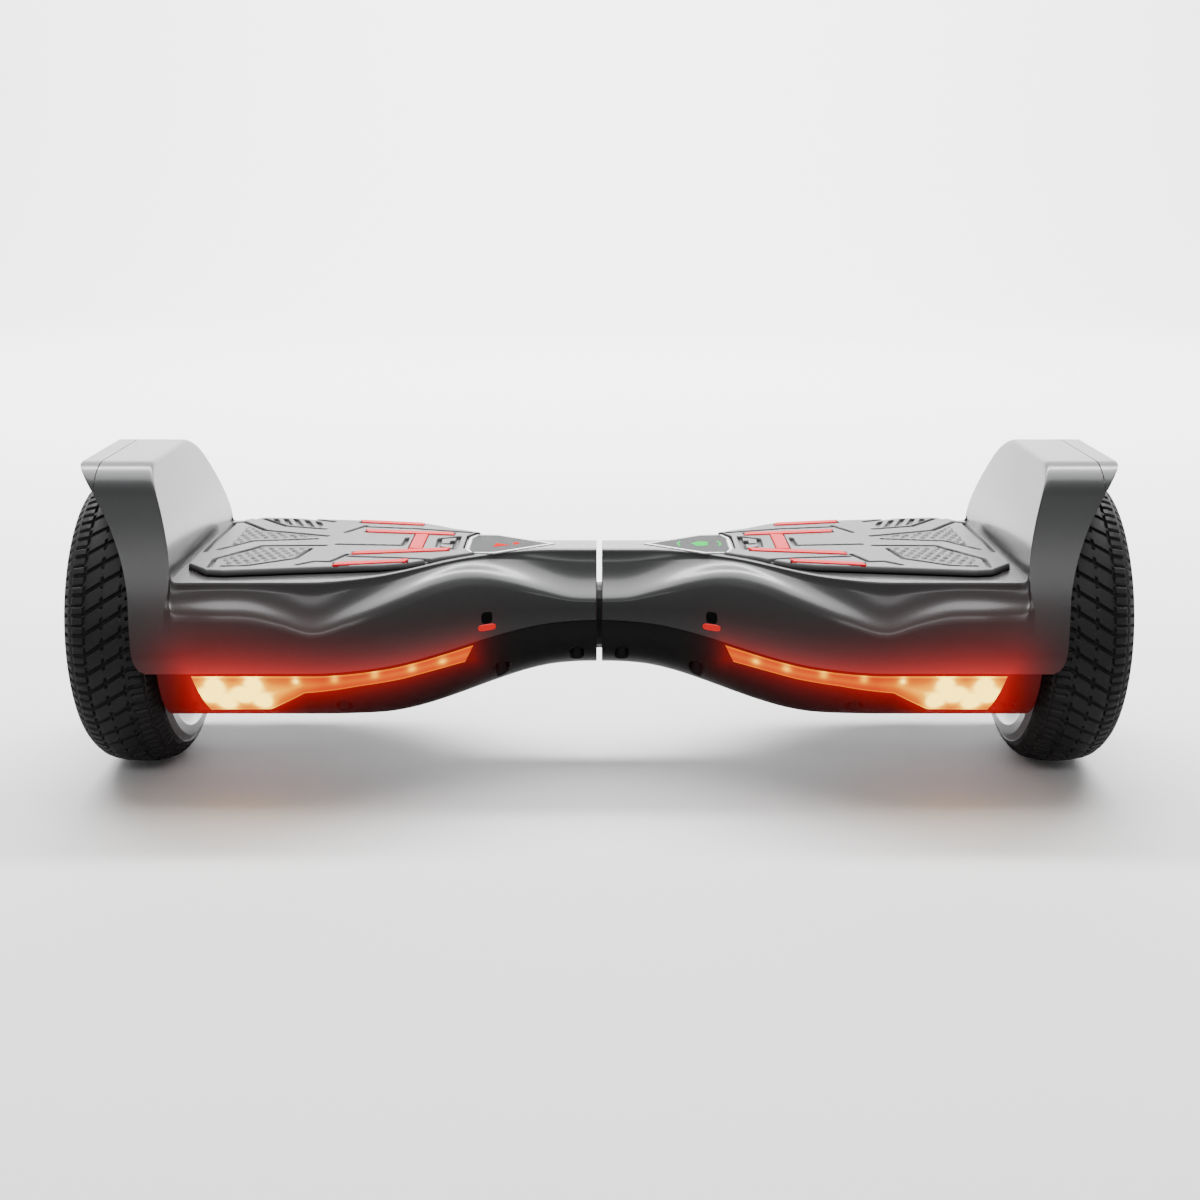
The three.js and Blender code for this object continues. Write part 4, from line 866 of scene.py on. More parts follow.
lens_points = light_surface()
lit, lit_tree, lit_shader = new_material("lit_lens", (0.12, 0.01, 0.002), 0.2, 0.0, Specular_IOR_Level=0.2)
level = put(lit_tree, "ShaderNodeAttribute", attribute_name="lamp_level")
ramp = lit_tree.nodes.new("ShaderNodeValToRGB")
stops = ramp.color_ramp.elements
stops[0].position, stops[0].color = 0.0, (0.12, 0.0004, 0.0, 1)
stops[1].position, stops[1].color = 1.0, (1.0, 0.68, 0.09, 1)
between = ((0.3, (0.2, 0.016, 0.0, 1)), (0.5, (0.26, 0.055, 0.0, 1)), (0.75, (0.46, 0.18, 0.0, 1)))
for position, color in between:
    stop = stops.new(position)
    stop.color = color
lit_tree.links.new(level.outputs["Fac"], ramp.inputs["Fac"])
lit_tree.links.new(ramp.outputs["Color"], lit_shader.inputs["Emission Color"])
lit_shader.inputs["Emission Strength"].default_value = 5.0
lit_place = lit_tree.nodes.new("ShaderNodeTexCoord").outputs["Object"]
ripple = put(lit_tree, "ShaderNodeTexNoise", Vector=lit_place, Scale=350.0)
ripple_bump = put(lit_tree, "ShaderNodeBump", Strength=0.15, Distance=0.0004, Height=ripple.outputs["Fac"])
lit_tree.links.new(ripple_bump.outputs[0], lit_shader.inputs["Normal"])

for side_name, side in (("left", -1), ("right", 1)):
    lens = shell_piece(f"{side_name}_lens", [thicken(lens_points, 1.8)], side, lit, 50)
    at = vertices_of(lens)
    x, z = np.abs(at[:, 0]), at[:, 2]
    wide = np.clip((x - 150) / 35, 0, 1)
    spots = np.zeros(len(x))
    for spot_x, spot_z in DIODES:
        spread = 7 + 22 * (spot_x > 180)
        spots = np.maximum(spots, np.exp(-((x - spot_x) ** 2 + (z - spot_z) ** 2) / spread))
    tall = light_top(x) - light_low(x)
    edge = np.minimum(light_top(x) - z, z - light_low(x))
    rim = np.exp(-(np.clip(edge, 0, None) / 0.8) ** 2)
    middle = np.clip(edge / np.maximum(tall, 1) * 2, 0, 1)
    base = 0.2 + 0.2 * middle + wide * (0.2 + 0.3 * middle)
    add_values(lens, "lamp_level", np.clip(base + spots * (0.45 + 0.25 * wide) + rim * 0.32, 0, 1))
    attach(lens, f"{side_name}_half")
    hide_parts(f"{side_name}_light_lens")

# ---------------------------------------------------------------------------------------
# Display windows: a seven-sided smoked window at the narrow end of each deck, held by a pale
# trim that shows between it and the arms of the mat. Symbols printed under it are lit.
# ---------------------------------------------------------------------------------------

WINDOW = np.array([
    (75.2, 13.9), (72, 21.4), (60.8, 21.4), (29.4, 0), (60.8, -21.4), (72, -21.4), (75.2, -13.9)])


def grown(outline, margin):
    """The outline with every edge moved outwards by the margin (it runs anticlockwise)."""
    edge = np.roll(outline, -1, 0) - outline
    edge = edge / np.linalg.norm(edge, axis=1, keepdims=True)
    out = np.stack([edge[:, 1], -edge[:, 0]], -1)
    before = np.roll(out, 1, 0)
    share = 1 + (out * before).sum(1, keepdims=True)
    return outline + (out + before) / share * margin


def lifted(outline, z):
    """A flat outline as points at one height."""
    return np.column_stack([outline, np.full(len(outline), z)])


def plate(outline, low, high, bevel=0.3):
    """A flat plate with bevelled upper edges: three rings joined up, capped at both ends."""
    outline = np.asarray(outline, float)
    count = len(outline)
    rings = np.concatenate([
        lifted(outline, low), lifted(outline, high - bevel), lifted(grown(outline, -bevel), high)])
    faces = grid_faces(3, count, around=True)[:, ::-1].tolist()
    return rings, faces + [list(range(count))[::-1], list(range(2 * count, 3 * count))]


def frame_of(outline, inner, outer, low, high):
    """A flat ring between two margins round an outline, with a small chamfer inside."""
    count = len(outline)
    rings = np.concatenate([
        lifted(grown(outline, inner), low), lifted(grown(outline, outer), low),
        lifted(grown(outline, outer), high - 0.2), lifted(grown(outline, outer - 0.2), high),
        lifted(grown(outline, inner + 0.3), high), lifted(grown(outline, inner), high - 0.3)])
    return rings, grid_faces(6, count, around=True, along=True)[:, ::-1]


smoked, _, _ = new_material("smoked_window", (0.03, 0.031, 0.033), 0.3, 0.0, Specular_IOR_Level=0.02)
finish_with(smoked, 0.004, 0.25, 0.01, 0.04)
silver, _, _ = new_material("silver_trim", (0.7, 0.7, 0.71), 0.25, 1.0)
finish_with(silver, 0.0004, 0.06, 0.03, 0.08)
red_sign, _, _ = new_material(
    "red_symbol", (0.3, 0.01, 0.01), 0.5, Specular_IOR_Level=0.0, Emission_Color=(1, 0.015, 0.01, 1),
    Emission_Strength=1.0)
finish_with(red_sign, 0.0006, 0.15, 0.0, 0.05)
green_sign, _, _ = new_material(
    "green_symbol", (0.01, 0.3, 0.05), 0.5, Specular_IOR_Level=0.0, Emission_Color=(0.0, 1, 0.15, 1),
    Emission_Strength=0.75)
finish_with(green_sign, 0.0006, 0.15, 0.0, 0.05)

# Symbols: an arrowhead and a spot on the left, a charge level between two arcs on the right.
SIGN_Z = 129.42
ARROW = np.array([(52, -3.5), (62, -8), (60.5, 1.5)])
SPOT = np.array([(46.5, 0.5), (50, -3), (51, 2), (47.5, 4)])
LEVEL = np.array([(57, -6), (63, -5), (64, 4.5), (58.5, 6), (53.5, 1)])


def arc(centre, radius, start, end, width):
    """A curved bar: the same arc at two radii, joined at the ends."""
    turn = np.radians(np.linspace(start, end, 12))
    ring = [np.stack([centre + r * np.cos(t), r * np.sin(t)], -1)
            for r, t in ((radius, turn[::-1]), (radius - width, turn))]
    return np.concatenate(ring)[::-1]


for side_name, side in (("left", -1), ("right", 1)):
    window = whole_piece(f"{side_name}_window", [plate(WINDOW, 126.8, 129.35, 0.5)], smoked, side)
    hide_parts(f"{side_name}_display_lens")
    rim = frame_of(WINDOW, 0.25, 1.9, 128.6, 129.6)
    border = whole_piece(f"{side_name}_window_trim", [rim], silver, side)
    if side < 0:
        signs = [(ARROW, 0.15), (SPOT, 0.15)]
        sign_material = red_sign
    else:
        signs = [(LEVEL, 0.15), (arc(58.5, 13, 150, 205, 1.3), 0.1), (arc(58.5, 13, -25, 30, 1.3), 0.1)]
        sign_material = green_sign
    shapes = [plate(shape, SIGN_Z - 0.3, SIGN_Z, bevel) for shape, bevel in signs]
    symbols = whole_piece(f"{side_name}_symbols", shapes, sign_material, side)
    for piece in (window, border, symbols):
        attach(piece, f"{side_name}_half")

# ---------------------------------------------------------------------------------------
# Foot mats: one moulding of black rubber on each deck, cut with narrow grooves, dotted and
# ribbed zones for grip, and openings for the red bars of the press plate below.
# ---------------------------------------------------------------------------------------

MAT_TOP, MAT_FOOT = 130.5, 127.1
GROOVE_DEPTH, GROOVE_HALF = 1.9, 1.15
GROOVES = (
    [(225, -24), (224.7, 51), (218.7, 53), (201.4, 30), (161.7, 15)],
    [(218.3, -19), (203.3, 2), (167, 7.6)],
    [(214.3, -60), (215.6, -42), (195, -10), (159, -9)],
    [(207.7, -58), (194, -56.7), (170.7, -40.6), (166, -17)],
    [(167, -55), (158.6, -47), (150, -48), (143, -30.7)],
    [(152.6, -6), (114, -9), (113.4, 9.4)],
    [(141, -35.7), (112, -39), (89, -44), (74, -31)],
    [(152, 25), (142.6, 42)],
    [(141, 39.4), (110, 34), (77, 24)],
    [(214, 63), (213, 69), (188.7, 67), (163.8, 53.8)],
    [(208, 61.8), (191, 41.3), (166, 33.6)],
    [(94, 7.6), (83, 13), (83.5, -18.8), (93.5, -11.9), (94, 7.6)],
    [(90, -5), (86, -6), (86, 2)],
)
DOTTED = (
    [(166, 13.5), (204, 6), (214, -10), (214, 40), (204, 27)],
    [(167, -14.5), (196, -13.5), (212, -42), (206, -54), (195, -52.5), (173, -37)],
)
RIBBED = [(170, 37.5), (190, 45), (206, 62), (190, 62.5), (168, 51)]
BARS = ((0.2, 0.0, 7.5, 36, 0.0), (0.25, 0.31, 54, 6.6, 0.16), (0.34, 0.65, 40, 6.4, 0.2))
BAR_FOOT, BAR_TOP, BAR_BEVEL = 128.4, 131.1, 0.35
LONG_BAR_DROP = 0.05     # keeps the face of the bar that runs front to back off the others'


def far_from(line, x, y):
    """Distance from every point to the nearest stretch of a line of points."""
    far = np.full(x.shape, 1e3)
    for (ax, ay), (bx, by) in zip(line[:-1], line[1:]):
        ux, uy = bx - ax, by - ay
        t = np.clip(((x - ax) * ux + (y - ay) * uy) / (ux * ux + uy * uy), 0, 1)
        far = np.minimum(far, np.hypot(x - ax - t * ux, y - ay - t * uy))
    return far


def within(outline, x, y):
    """True for points inside an outline: a ray from the point crosses it an odd number of times."""
    inside = np.zeros(x.shape, bool)
    for (ax, ay), (bx, by) in zip(outline, outline[1:] + outline[:1]):
        if ay != by:
            crosses = (ay > y) != (by > y)
            inside ^= crosses & (x < ax + (y - ay) / (by - ay) * (bx - ax))
    return inside


def mat_relief(x, y):
    """Height of the mat's face: level, less grooves and openings, plus dots and ribs. Also a
    painted shade from 0 to 1: full in grooves and openings, round the dots and between the ribs."""
    z = np.full(x.shape, MAT_TOP)
    cut = np.zeros(x.shape)
    # cut sets both the depth of grooves and openings and their painted shade.
    for line in GROOVES:
        cut = np.maximum(cut, 1 - np.clip((far_from(line, x, y) - GROOVE_HALF) / 0.45, 0, 1))
    for share_x, share_y, length, width, slant in BARS:
        for sign in (1, -1):
            turned = slant * sign
            dx, dy = x - mix(75.2, MAT_END, share_x), y - sign * share_y * DECK_HALF
            along = np.abs(dx * math.cos(turned) + dy * math.sin(turned)) - length / 2
            beside = np.abs(dy * math.cos(turned) - dx * math.sin(turned)) - width / 2
            opening = np.maximum(along, beside) < 0.6
            z = np.where(opening, MAT_TOP - 2.4, z)
            cut = np.where(opening, 1.0, cut)
    z = np.where(z == MAT_TOP, z - GROOVE_DEPTH * cut, z)
    row = np.round(y / 5.6)
    step_x = x / 5.8 + 0.5 * (row % 2)
    off = np.hypot((step_x - np.round(step_x)) * 5.8, y - row * 5.6)
    dot = np.sqrt(np.clip(1 - (off / 1.7) ** 2, 0, 1)) * 1.0
    zone = within(DOTTED[0], x, y) | within(DOTTED[1], x, y)
    sunk = 0.3 * zone
    z = z - sunk + dot * zone
    # Painted shade in a ring round each dot.
    cut = np.maximum(cut, zone * np.clip((2.1 - off) / 0.5, 0, 1) * 0.85)
    wave = ((x - 0.35 * y) / 6.2) % 1.0
    rib = np.clip((0.28 - np.abs(wave - 0.5)) / 0.05, 0, 1)
    ribbed = within(RIBBED, x, y)
    z = np.where(ribbed, z - 1.5 + 1.5 * rib, z)
    # Painted shade in the valleys between the ribs, lighter on their tops.
    return z, np.where(ribbed, 1 - rib, cut)


def mat_half_body(sign):
    """Half of the mat as an open body: its face as a grid from the display's bay to the edge,
    its edge rounded off, its flat foot and its sides."""
    x = np.unique(np.round(np.concatenate([
        np.linspace(PAD_START, MAT_END, 330), [78.7, 78.701],
        MAT_START + MAT_LINE[1:, 0] * (MAT_END - MAT_START)]), 3))
    inner = bay_half(x, BAY_MARGIN)
    outer = pad_half(x)
    t = np.linspace(0, 1, 96)[None, :]
    inside = mix(inner[:, None], outer[:, None] - 1.6, t)
    edge = outer[:, None] - np.array([[1.2, 0.8, 0.4, 0.0]])
    y = np.concatenate([inside, edge], 1)
    x_all = np.repeat(x[:, None], y.shape[1], 1)
    z, groove = mat_relief(x_all, sign * y)
    to_edge = np.minimum(outer[:, None] - y, MAT_END - x_all)
    z = z - 1.3 * (1 - np.clip(to_edge / 1.2, 0, 1)) ** 2
    rows, columns = y.shape
    face = np.stack([x_all, sign * y, z], -1).reshape(-1, 3)
    foot_in = np.stack([x, sign * inner, np.full(rows, MAT_FOOT)], -1)
    foot_out = np.stack([x, sign * outer, np.full(rows, MAT_FOOT)], -1)
    points = np.concatenate([face, foot_in, foot_out])
    index = np.arange(rows * columns).reshape(rows, columns)
    low_in = rows * columns + np.arange(rows)
    low_out = low_in + rows
    faces = grid_faces(rows, columns).tolist()
    r = np.arange(rows - 1)
    faces += np.stack([low_in[r], low_out[r], low_out[r + 1], low_in[r + 1]], -1).tolist()
    faces += np.stack([index[r, -1], index[r + 1, -1], low_out[r + 1], low_out[r]], -1).tolist()
    bay = r[inner[:-1] > 0]
    faces += np.stack([index[bay, 0], low_in[bay], low_in[bay + 1], index[bay + 1, 0]], -1).tolist()
    faces.append([*index[0], low_out[0], low_in[0]])
    faces.append([low_in[-1], low_out[-1], *index[-1][::-1]])
    if sign < 0:
        faces = [face[::-1] for face in faces]
    # Painted shade: the face keeps its value, the foot is fully dark, so the mat's sides darken downwards.
    shade = np.concatenate([groove.reshape(-1), np.ones(2 * rows)])
    return np.column_stack([points, shade]), faces


def merged(bodies):
    """Several point lists and face lists as one, with doubled points merged. A fourth column
    of the points is a value that goes with each."""
    points, faces, first = [], [], 0
    for body_points, body_faces in bodies:
        points.append(np.asarray(body_points))
        faces += [[p + first for p in face] for face in body_faces]
        first += len(body_points)
    points = np.concatenate(points)
    _, place, back = np.unique(np.round(points[:, :3], 3), axis=0, return_index=True, return_inverse=True)
    back = back.reshape(-1)
    kept = []
    for face in faces:
        face = [int(back[p]) for p in face]
        face = [p for i, p in enumerate(face) if p != face[i - 1]]
        if len(face) > 2:
            kept.append(face)
    return points[place], kept


def bar_outline(share_x, share_y, length, width, slant, sign):
    """Corners of one slanted red bar, anticlockwise, with its ends cut at an angle."""
    half = np.array([length / 2, width / 2])
    corners = np.array([(-1, -1), (1, -1), (1, 1), (-1, 1)]) * half
    corners[:, 0] += corners[:, 1] * 0.5 * (share_y > 0) * sign
    turned = slant * sign
    spin = np.array([[math.cos(turned), math.sin(turned)], [-math.sin(turned), math.cos(turned)]])
    return corners @ spin + (mix(75.2, MAT_END, share_x), sign * share_y * DECK_HALF)


rubber, rubber_tree, _ = new_material("mat_rubber", (0.075, 0.075, 0.077), 0.4, 0.0, Specular_IOR_Level=0.6)
# Painted shade: the stored value mixes the rubber from grey to near black in grooves, openings, dot rings,
# rib valleys and down the sides.
groove_mask = put(rubber_tree, "ShaderNodeAttribute", attribute_name="groove")
groove_mix = rubber_tree.nodes.new("ShaderNodeMix")
groove_mix.data_type = "RGBA"
groove_mix.inputs["A"].default_value = (0.125, 0.125, 0.128, 1)
groove_mix.inputs["B"].default_value = (0.004, 0.004, 0.004, 1)
rubber_tree.links.new(groove_mask.outputs["Fac"], groove_mix.inputs["Factor"])
finish_with(rubber, 0.0005, 0.3, 0.2, 0.12, groove_mix.outputs["Result"])
red_plate, _, _ = new_material("red_plate", (0.8, 0.012, 0.022), 0.45, 0.0, Specular_IOR_Level=0.1)
finish_with(red_plate, 0.0006, 0.15, 0.06, 0.1)


def dress(node, material):
    """A carried-over CAD node shown in a material of its own."""
    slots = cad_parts[node].data.materials
    slots.clear()
    slots.append(material)


mat_points, mat_faces = merged([mat_half_body(1), mat_half_body(-1)])
bars = [plate(bar_outline(*bar, sign), BAR_FOOT, BAR_TOP - (0 if bar[1] else LONG_BAR_DROP), BAR_BEVEL)
        for bar in BARS for sign in ((1, -1) if bar[1] else (1,))]
for side_name, side in (("left", -1), ("right", 1)):
    mat = whole_piece(f"{side_name}_grip_mat", [(mat_points[:, :3], mat_faces)], rubber, side)
    add_values(mat, "groove", mat_points[:, 3])
    bar_piece = whole_piece(f"{side_name}_red_bars", bars, red_plate, side)
    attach(bar_piece, f"{side_name}_mat")
    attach(mat, f"{side_name}_mat")
    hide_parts(f"{side_name}_foot_mat")
    dress(f"{side_name}_press_plate", black)

# ---------------------------------------------------------------------------------------
# Tyres: solid moulded rubber with a directional tread. Slanted cross grooves sweep from the
# shoulder over the crown, dashed grooves run round, and short lugs mark both shoulders.
# ---------------------------------------------------------------------------------------

WHEEL_X = 267.75
RIM_RADIUS = 68.0
PITCHES, STEPS = 48, 16          # cross grooves round the tyre, grid columns in each pitch
TREAD = np.array([
    (-24.75, 74.7), (-23.6, 77.6), (-20.75, 80.8), (-17.6, 83.2), (-14.25, 84.5), (-8.25, 85.7), (0, 86),
    (8.25, 85.7), (14.25, 84.5), (17.6, 83.2), (20.75, 80.8), (23.6, 77.6), (24.75, 74.7)])


def band(value, centre, half, soft):
    """1 within half of the centre, falling to 0 over the soft width."""
    return 1 - np.clip((np.abs(value - centre) - half) / soft, 0, 1)


def tyre_body():
    """The tyre as a closed grid: columns run round the wheel, each row's columns shifted so
    that the cross grooves slant; rows run from bead to bead over the tread and back inside.
    The radius is the round profile less the tread's cut."""
    across = np.linspace(-24.75, 24.75, 104)[:, None]
    column = np.arange(PITCHES * STEPS)[None, :]
    slant = (12 - np.clip(across, -12, 12)) * 0.9
    phase = column % STEPS
    cross = band(phase, 1.0, 0.9, 0.5)
    half_pitch = band(phase, 9.0, 0.7, 0.5)
    cut = 1.9 * cross * band(across, 0, 12.6, 0.6)
    for place, length in ((1.2, 4.0), (-9.0, 4.4)):
        dash = band(phase, 1.0, length, 0.8) + band(phase, 17.0, length, 0.8)
        cut = np.maximum(cut, 1.6 * np.clip(dash, 0, 1) * band(across, place, 0.35, 0.4))
    twice = band(phase % 8, 4.0, 2.4, 0.6)
    cut = np.maximum(cut, 1.4 * twice * band(across, 10.9, 0.3, 0.4))
    for sign in (-1, 1):
        cut = np.maximum(cut, 1.7 * cross * band(across, sign * 15.2, 2.6, 0.5))
        cut = np.maximum(cut, 1.5 * half_pitch * band(across, sign * 15.0, 3.2, 0.5))
        cut = np.maximum(cut, 1.6 * np.maximum(cross, half_pitch) * band(across, sign * 21.6, 1.6, 0.5))
        cut = np.maximum(cut, 0.5 * band(across, sign * 18.9, 0.35, 0.3))
    radius = np.interp(across, TREAD[:, 0], TREAD[:, 1]) - cut
    inner = np.array([(22.45, RIM_RADIUS + 2.7), (20.3, RIM_RADIUS + 0.7),
                      (-20.3, RIM_RADIUS + 0.7), (-22.45, RIM_RADIUS + 2.7)])
    across = np.concatenate([across, inner[:, :1]])
    radius = np.concatenate([radius, np.repeat(inner[:, 1:], column.shape[1], 1)])
    slant = np.concatenate([slant, np.full((2, 1), slant[-1, 0]), np.full((2, 1), slant[0, 0])])
    angle = (column + slant) * 2 * math.pi / (PITCHES * STEPS)
    x = np.broadcast_to(WHEEL_X + across, radius.shape)
    points = np.stack([x, -radius * np.cos(angle), AXLE_Z + radius * np.sin(angle)], -1)
    rows, columns = radius.shape
    return points.reshape(-1, 3), grid_faces(rows, columns, around=True, along=True)


tread_rubber, _, _ = new_material("tyre_rubber", (0.02, 0.02, 0.021), 0.5, 0.0, Specular_IOR_Level=0.4)
finish_with(tread_rubber, 0.0007, 0.35, 0.2, 0.12)
tyre_points, tyre_faces = tyre_body()
tyre_faces = tyre_faces.tolist()
for side_name, side in (("left", -1), ("right", 1)):
    tyre = whole_piece(f"{side_name}_tread_tyre", [(tyre_points, tyre_faces)], tread_rubber, side, 30)
    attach(tyre, f"{side_name}_wheel")
    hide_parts(f"{side_name}_tyre")

# ---------------------------------------------------------------------------------------
# Rims and covers: the hub motor's drum is a turned and painted casting with two flanges.
# Its outer end plate is a turned disc with a raised rim, held by six countersunk screws.
# ---------------------------------------------------------------------------------------


def turned_body(profile, sides=128):
    """A closed body of revolution round the wheel's axle, from (distance along it, radius)."""
    profile = np.asarray(profile, float)
    angle = np.arange(sides) * 2 * math.pi / sides
    x = np.repeat(profile[:, :1], sides, 1)
    radius = profile[:, 1:]
    points = np.stack([x, radius * np.cos(angle), AXLE_Z + radius * np.sin(angle)], -1)
    return points.reshape(-1, 3), grid_faces(len(profile), sides, around=True, along=True)[:, ::-1].tolist()


def hex_screw(x, y, z, radius):
    """A countersunk screw head that faces out along the axle: rings from its edge to a six-sided
    socket's floor, closed behind."""
    sides = 48
    angle = np.arange(sides) * 2 * math.pi / sides
    hexagon = 0.45 * radius * math.cos(math.pi / 6) / np.cos((angle % (math.pi / 3)) - math.pi / 6)
    rings = [(x - 1.2, 0.7 * radius), (x, radius), (x + 0.25, 0.93 * radius),
             (x + 0.25, hexagon * 1.05), (x - 0.9, hexagon * 0.97)]
    points = [np.stack([np.full(sides, at), y + r * np.cos(angle), z + r * np.sin(angle)], -1)
              for at, r in rings]
    faces = grid_faces(5, sides, around=True)[:, ::-1].tolist()
    return np.concatenate(points), faces + [list(range(sides))[::-1], list(range(4 * sides, 5 * sides))]


alloy, _, _ = new_material("turned_alloy", (0.5, 0.505, 0.52), 0.32, 0.9, Coat_Weight=0.3)
finish_with(alloy, 0.0005, 0.08, 0.06, 0.12)
screw_steel, _, _ = new_material("screw_steel", (0.42, 0.42, 0.43), 0.3, 1.0)
finish_with(screw_steel, 0.0004, 0.12, 0.05, 0.12)

HALF, FACE = 24.75, 26.6
RIM = [(-FACE + 1.2, 15.8), (-FACE + 1.2, 38), (-FACE + 1.6, 38.6), (-FACE + 3.4, 40.8), (-FACE + 3.4, 59.4),
       (-FACE + 0.5, 64.3), (-FACE, 65), (-FACE, 70.6), (-FACE + 0.4, 71.2), (-FACE + 2.5, 74.5),
       (-HALF + 1.7, 70.3), (-HALF + 4.4, 68), (HALF - 4.4, 68), (HALF - 1.6, 70.3), (HALF - 0.6, 73),
       (HALF - 0.2, 72.6), (HALF, 71.6), (HALF, 67.6), (HALF - 0.4, 66.6), (HALF - 2, 64),
       (-FACE + 7, 64), (-FACE + 7, 19), (-HALF + 9, 19), (-HALF + 9, 12), (-FACE + 2.2, 12)]
COVER = [(HALF - 0.4, 10), (HALF - 0.4, 16), (HALF - 1.1, 17.5), (HALF - 1.1, 36), (HALF - 0.4, 38),
         (HALF - 0.4, 53), (HALF - 0.9, 57), (HALF - 1.9, 61.6), (HALF - 2.6, 63), (HALF - 6.4, 63),
         (HALF - 6.4, 58), (HALF - 3.6, 58), (HALF - 3.6, 10)]

for side_name, side in (("left", -1), ("right", 1)):
    drum = whole_piece(f"{side_name}_drum", [turned_body([(WHEEL_X + x, r) for x, r in RIM])], alloy, side)
    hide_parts(f"{side_name}_rim")
    cover = turned_body([(WHEEL_X + x, r) for x, r in COVER])
    disc = whole_piece(f"{side_name}_end_plate", [cover], alloy, side)
    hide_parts(f"{side_name}_outer_cover")
    spots = [(45.5 * math.cos(a), AXLE_Z + 45.5 * math.sin(a)) for a in np.radians(np.arange(30, 390, 60))]
    heads = [hex_screw(WHEEL_X + HALF - 0.3, y, z, 3.2) for y, z in spots]
    screws = whole_piece(f"{side_name}_plate_screws", heads, screw_steel, side)
    for piece in (drum, disc, screws):
        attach(piece, f"{side_name}_wheel")

# ---------------------------------------------------------------------------------------
# Side markers: a small red light on each flank, lit with the front light, with a near-black patch just above
# it, standing a little proud of the flank, as painted shade of a notch.
# ---------------------------------------------------------------------------------------

MARKER_X, MARKER_Z = 63.3, 92.0


def flank_patch(x, z, half_x, half_z, proud):
    """A rounded patch that follows the front flank and stands a little proud of it: its two
    parameters are the distance from the centre and the turn round it."""
    radius = np.linspace(0.0, 1, 9)[:, None]
    turn = np.linspace(0, 2 * math.pi, 41)[None, :]
    across = np.sign(np.cos(turn)) * np.abs(np.cos(turn)) ** 0.6
    up = np.sign(np.sin(turn)) * np.abs(np.sin(turn)) ** 0.6
    px, pz = x + half_x * radius * across, z + half_z * radius * up
    py = -(flank(px, pz) + proud * np.sqrt(1 - 0.96 * radius ** 4))
    top = np.stack([px, py, pz], -1)
    under = top[::-1] + (0, 2.2, 0)
    points = np.concatenate([top, under])
    faces = grid_faces(18, 41, along=False)[:, ::-1]
    return points.reshape(-1, 3), faces


marker_red, _, _ = new_material(
    "marker_red", (0.4, 0.005, 0.005), 0.3, Emission_Color=(1, 0.004, 0.004, 1), Emission_Strength=0.6)
finish_with(marker_red, 0.0008, 0.25, 0.05, 0.1)
notch_black, _, _ = new_material("notch_black", (0.003, 0.003, 0.003), 0.5, Specular_IOR_Level=0.1)
finish_with(notch_black, 0.0008, 0.2, 0.1, 0.1)
for side_name, side in (("left", -1), ("right", 1)):
    spot = flank_patch(MARKER_X, MARKER_Z, 4.8, 1.9, 0.9)
    marker = shell_piece(f"{side_name}_marker_lens", [spot], side, marker_red)
    # Painted shade: a near-black patch proud of the flank where the shade of a notch would fall; nothing is
    # cut in.
    recess = flank_patch(MARKER_X, MARKER_Z + 5.5, 3.0, 3.4, 0.5)
    notch = shell_piece(f"{side_name}_marker_shade_patch", [recess], side, notch_black)
    for piece, finish in ((marker, "lens"), (notch, "black")):
        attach(piece, f"{side_name}_half")
    dress(f"{side_name}_side_marker", marker_red)

# ---------------------------------------------------------------------------------------
# Frames: die-cast aluminium skeletons with machined clamps and steel bolts that hold the
# axles. The cast skin is slightly mottled.
# ---------------------------------------------------------------------------------------

cast, _, _ = new_material("cast_aluminium", (0.5, 0.51, 0.52), 0.45, 0.9)
finish_with(cast, 0.0012, 0.2, 0.35, 0.15)
machined, _, _ = new_material("machined_steel", (0.5, 0.5, 0.52), 0.28, 1.0)
finish_with(machined, 0.0004, 0.12, 0.06, 0.15)
for side_name in ("left", "right"):
    dress(f"{side_name}_frame", cast)
    dress(f"{side_name}_axle_clamp", cast)
    for bolt in ("clamp_bolt_front", "clamp_bolt_rear", "axle", "inner_bearing", "outer_bearing"):
        dress(f"{side_name}_{bolt}", machined)

# ---------------------------------------------------------------------------------------
# Motors: steel laminations wound with enamelled copper wire, inside a ring of magnets.
# ---------------------------------------------------------------------------------------

copper, _, _ = new_material("enamelled_windings", (0.55, 0.2, 0.07), 0.35, 0.8, Coat_Weight=0.6)
finish_with(copper, 0.0012, 0.7, 0.4, 0.15)
magnet, _, _ = new_material("magnet_ring_steel", (0.3, 0.3, 0.31), 0.35, 1.0)
finish_with(magnet, 0.002, 0.3, 0.1, 0.2)
for side_name in ("left", "right"):
    dress(f"{side_name}_stator", copper)
    dress(f"{side_name}_magnet_ring", magnet)

# ---------------------------------------------------------------------------------------
# Electronics: green coated boards, the battery pack in blue shrink wrap, black cables and
# a small loudspeaker. The boards show fine tracks.
# ---------------------------------------------------------------------------------------

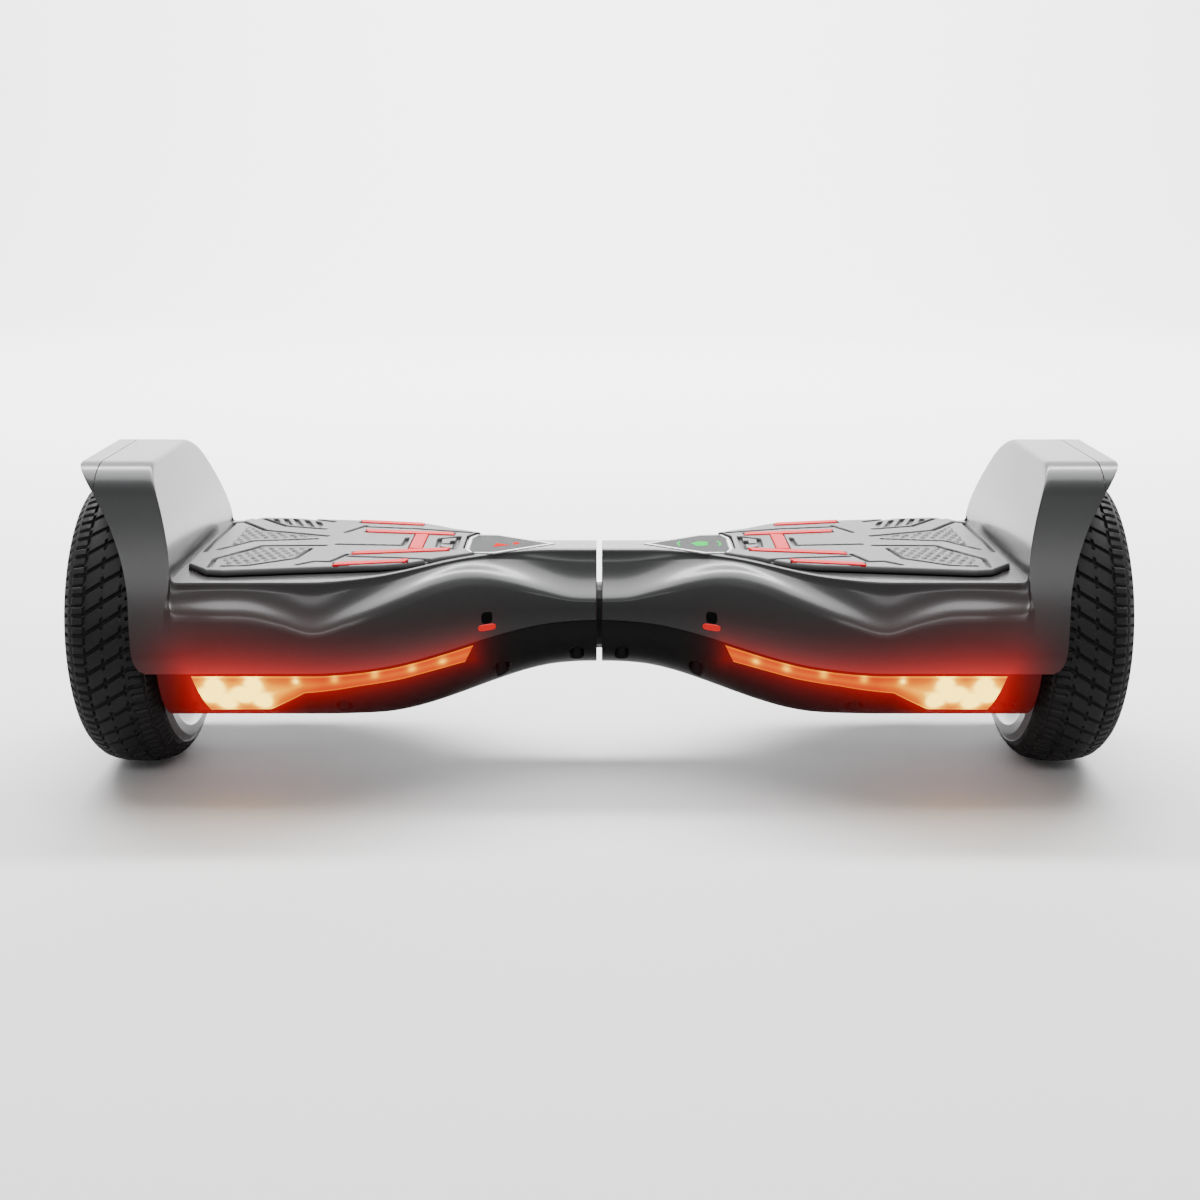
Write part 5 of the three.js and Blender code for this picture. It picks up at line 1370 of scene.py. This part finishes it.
board, board_tree, _ = new_material("circuit_board", (0.012, 0.11, 0.045), 0.35, 0.0, Coat_Weight=0.5)
board_place = board_tree.nodes.new("ShaderNodeTexCoord").outputs["Object"]
tracks = put(board_tree, "ShaderNodeTexVoronoi", Vector=board_place, Scale=260.0)
tracks.distance = "MANHATTAN"
track_mask = put(board_tree, "ShaderNodeMapRange", s0=tracks.outputs["Distance"], s1=0.35, s2=0.45)
track_color = board_tree.nodes.new("ShaderNodeMix")
track_color.data_type = "RGBA"
track_color.inputs["A"].default_value = (0.012, 0.11, 0.045, 1)
track_color.inputs["B"].default_value = (0.05, 0.26, 0.1, 1)
board_tree.links.new(track_mask.outputs[0], track_color.inputs["Factor"])
finish_with(board, 0.0008, 0.2, 0.08, 0.15, track_color.outputs["Result"])
wrap, _, _ = new_material("battery_wrap", (0.01, 0.06, 0.35), 0.3, 0.0, Coat_Weight=0.7)
finish_with(wrap, 0.006, 0.25, 0.3, 0.15)
jacket, _, _ = new_material("cable_jacket", (0.02, 0.02, 0.02), 0.5)
finish_with(jacket, 0.0008, 0.3, 0.2, 0.15)
for side_name in ("left", "right"):
    for node in ("display_board", "light_board", "gyro_board"):
        dress(f"{side_name}_{node}", board)
    dress(f"{side_name}_motor_cable", jacket)
dress("control_board", board)
dress("battery_pack", wrap)
dress("centre_harness", jacket)
dress("speaker", jacket)

# ---------------------------------------------------------------------------------------
# Pivot: a steel tube turns in a sintered bronze bush; a black collar covers the gap between
# the halves and a steel stop limits the twist.
# ---------------------------------------------------------------------------------------

bronze, _, _ = new_material("sintered_bronze", (0.42, 0.27, 0.11), 0.45, 0.9)
finish_with(bronze, 0.0009, 0.35, 0.25, 0.15)
plain_black, _, _ = new_material("moulded_black", (0.01, 0.01, 0.011), 0.4)
finish_with(plain_black, 0.0006, 0.3, 0.15, 0.15)
dress("pivot_tube", machined)
dress("twist_stop", machined)
dress("pivot_bush", bronze)
dress("pivot_collar", plain_black)

# ---------------------------------------------------------------------------------------
# Rear controls: the charging socket behind its hinged rubber cap, and a round steel power
# button, both in wells of the right lower shell.
# ---------------------------------------------------------------------------------------

dress("charge_socket", plain_black)
dress("charge_cap", jacket)
dress("power_button", machined)
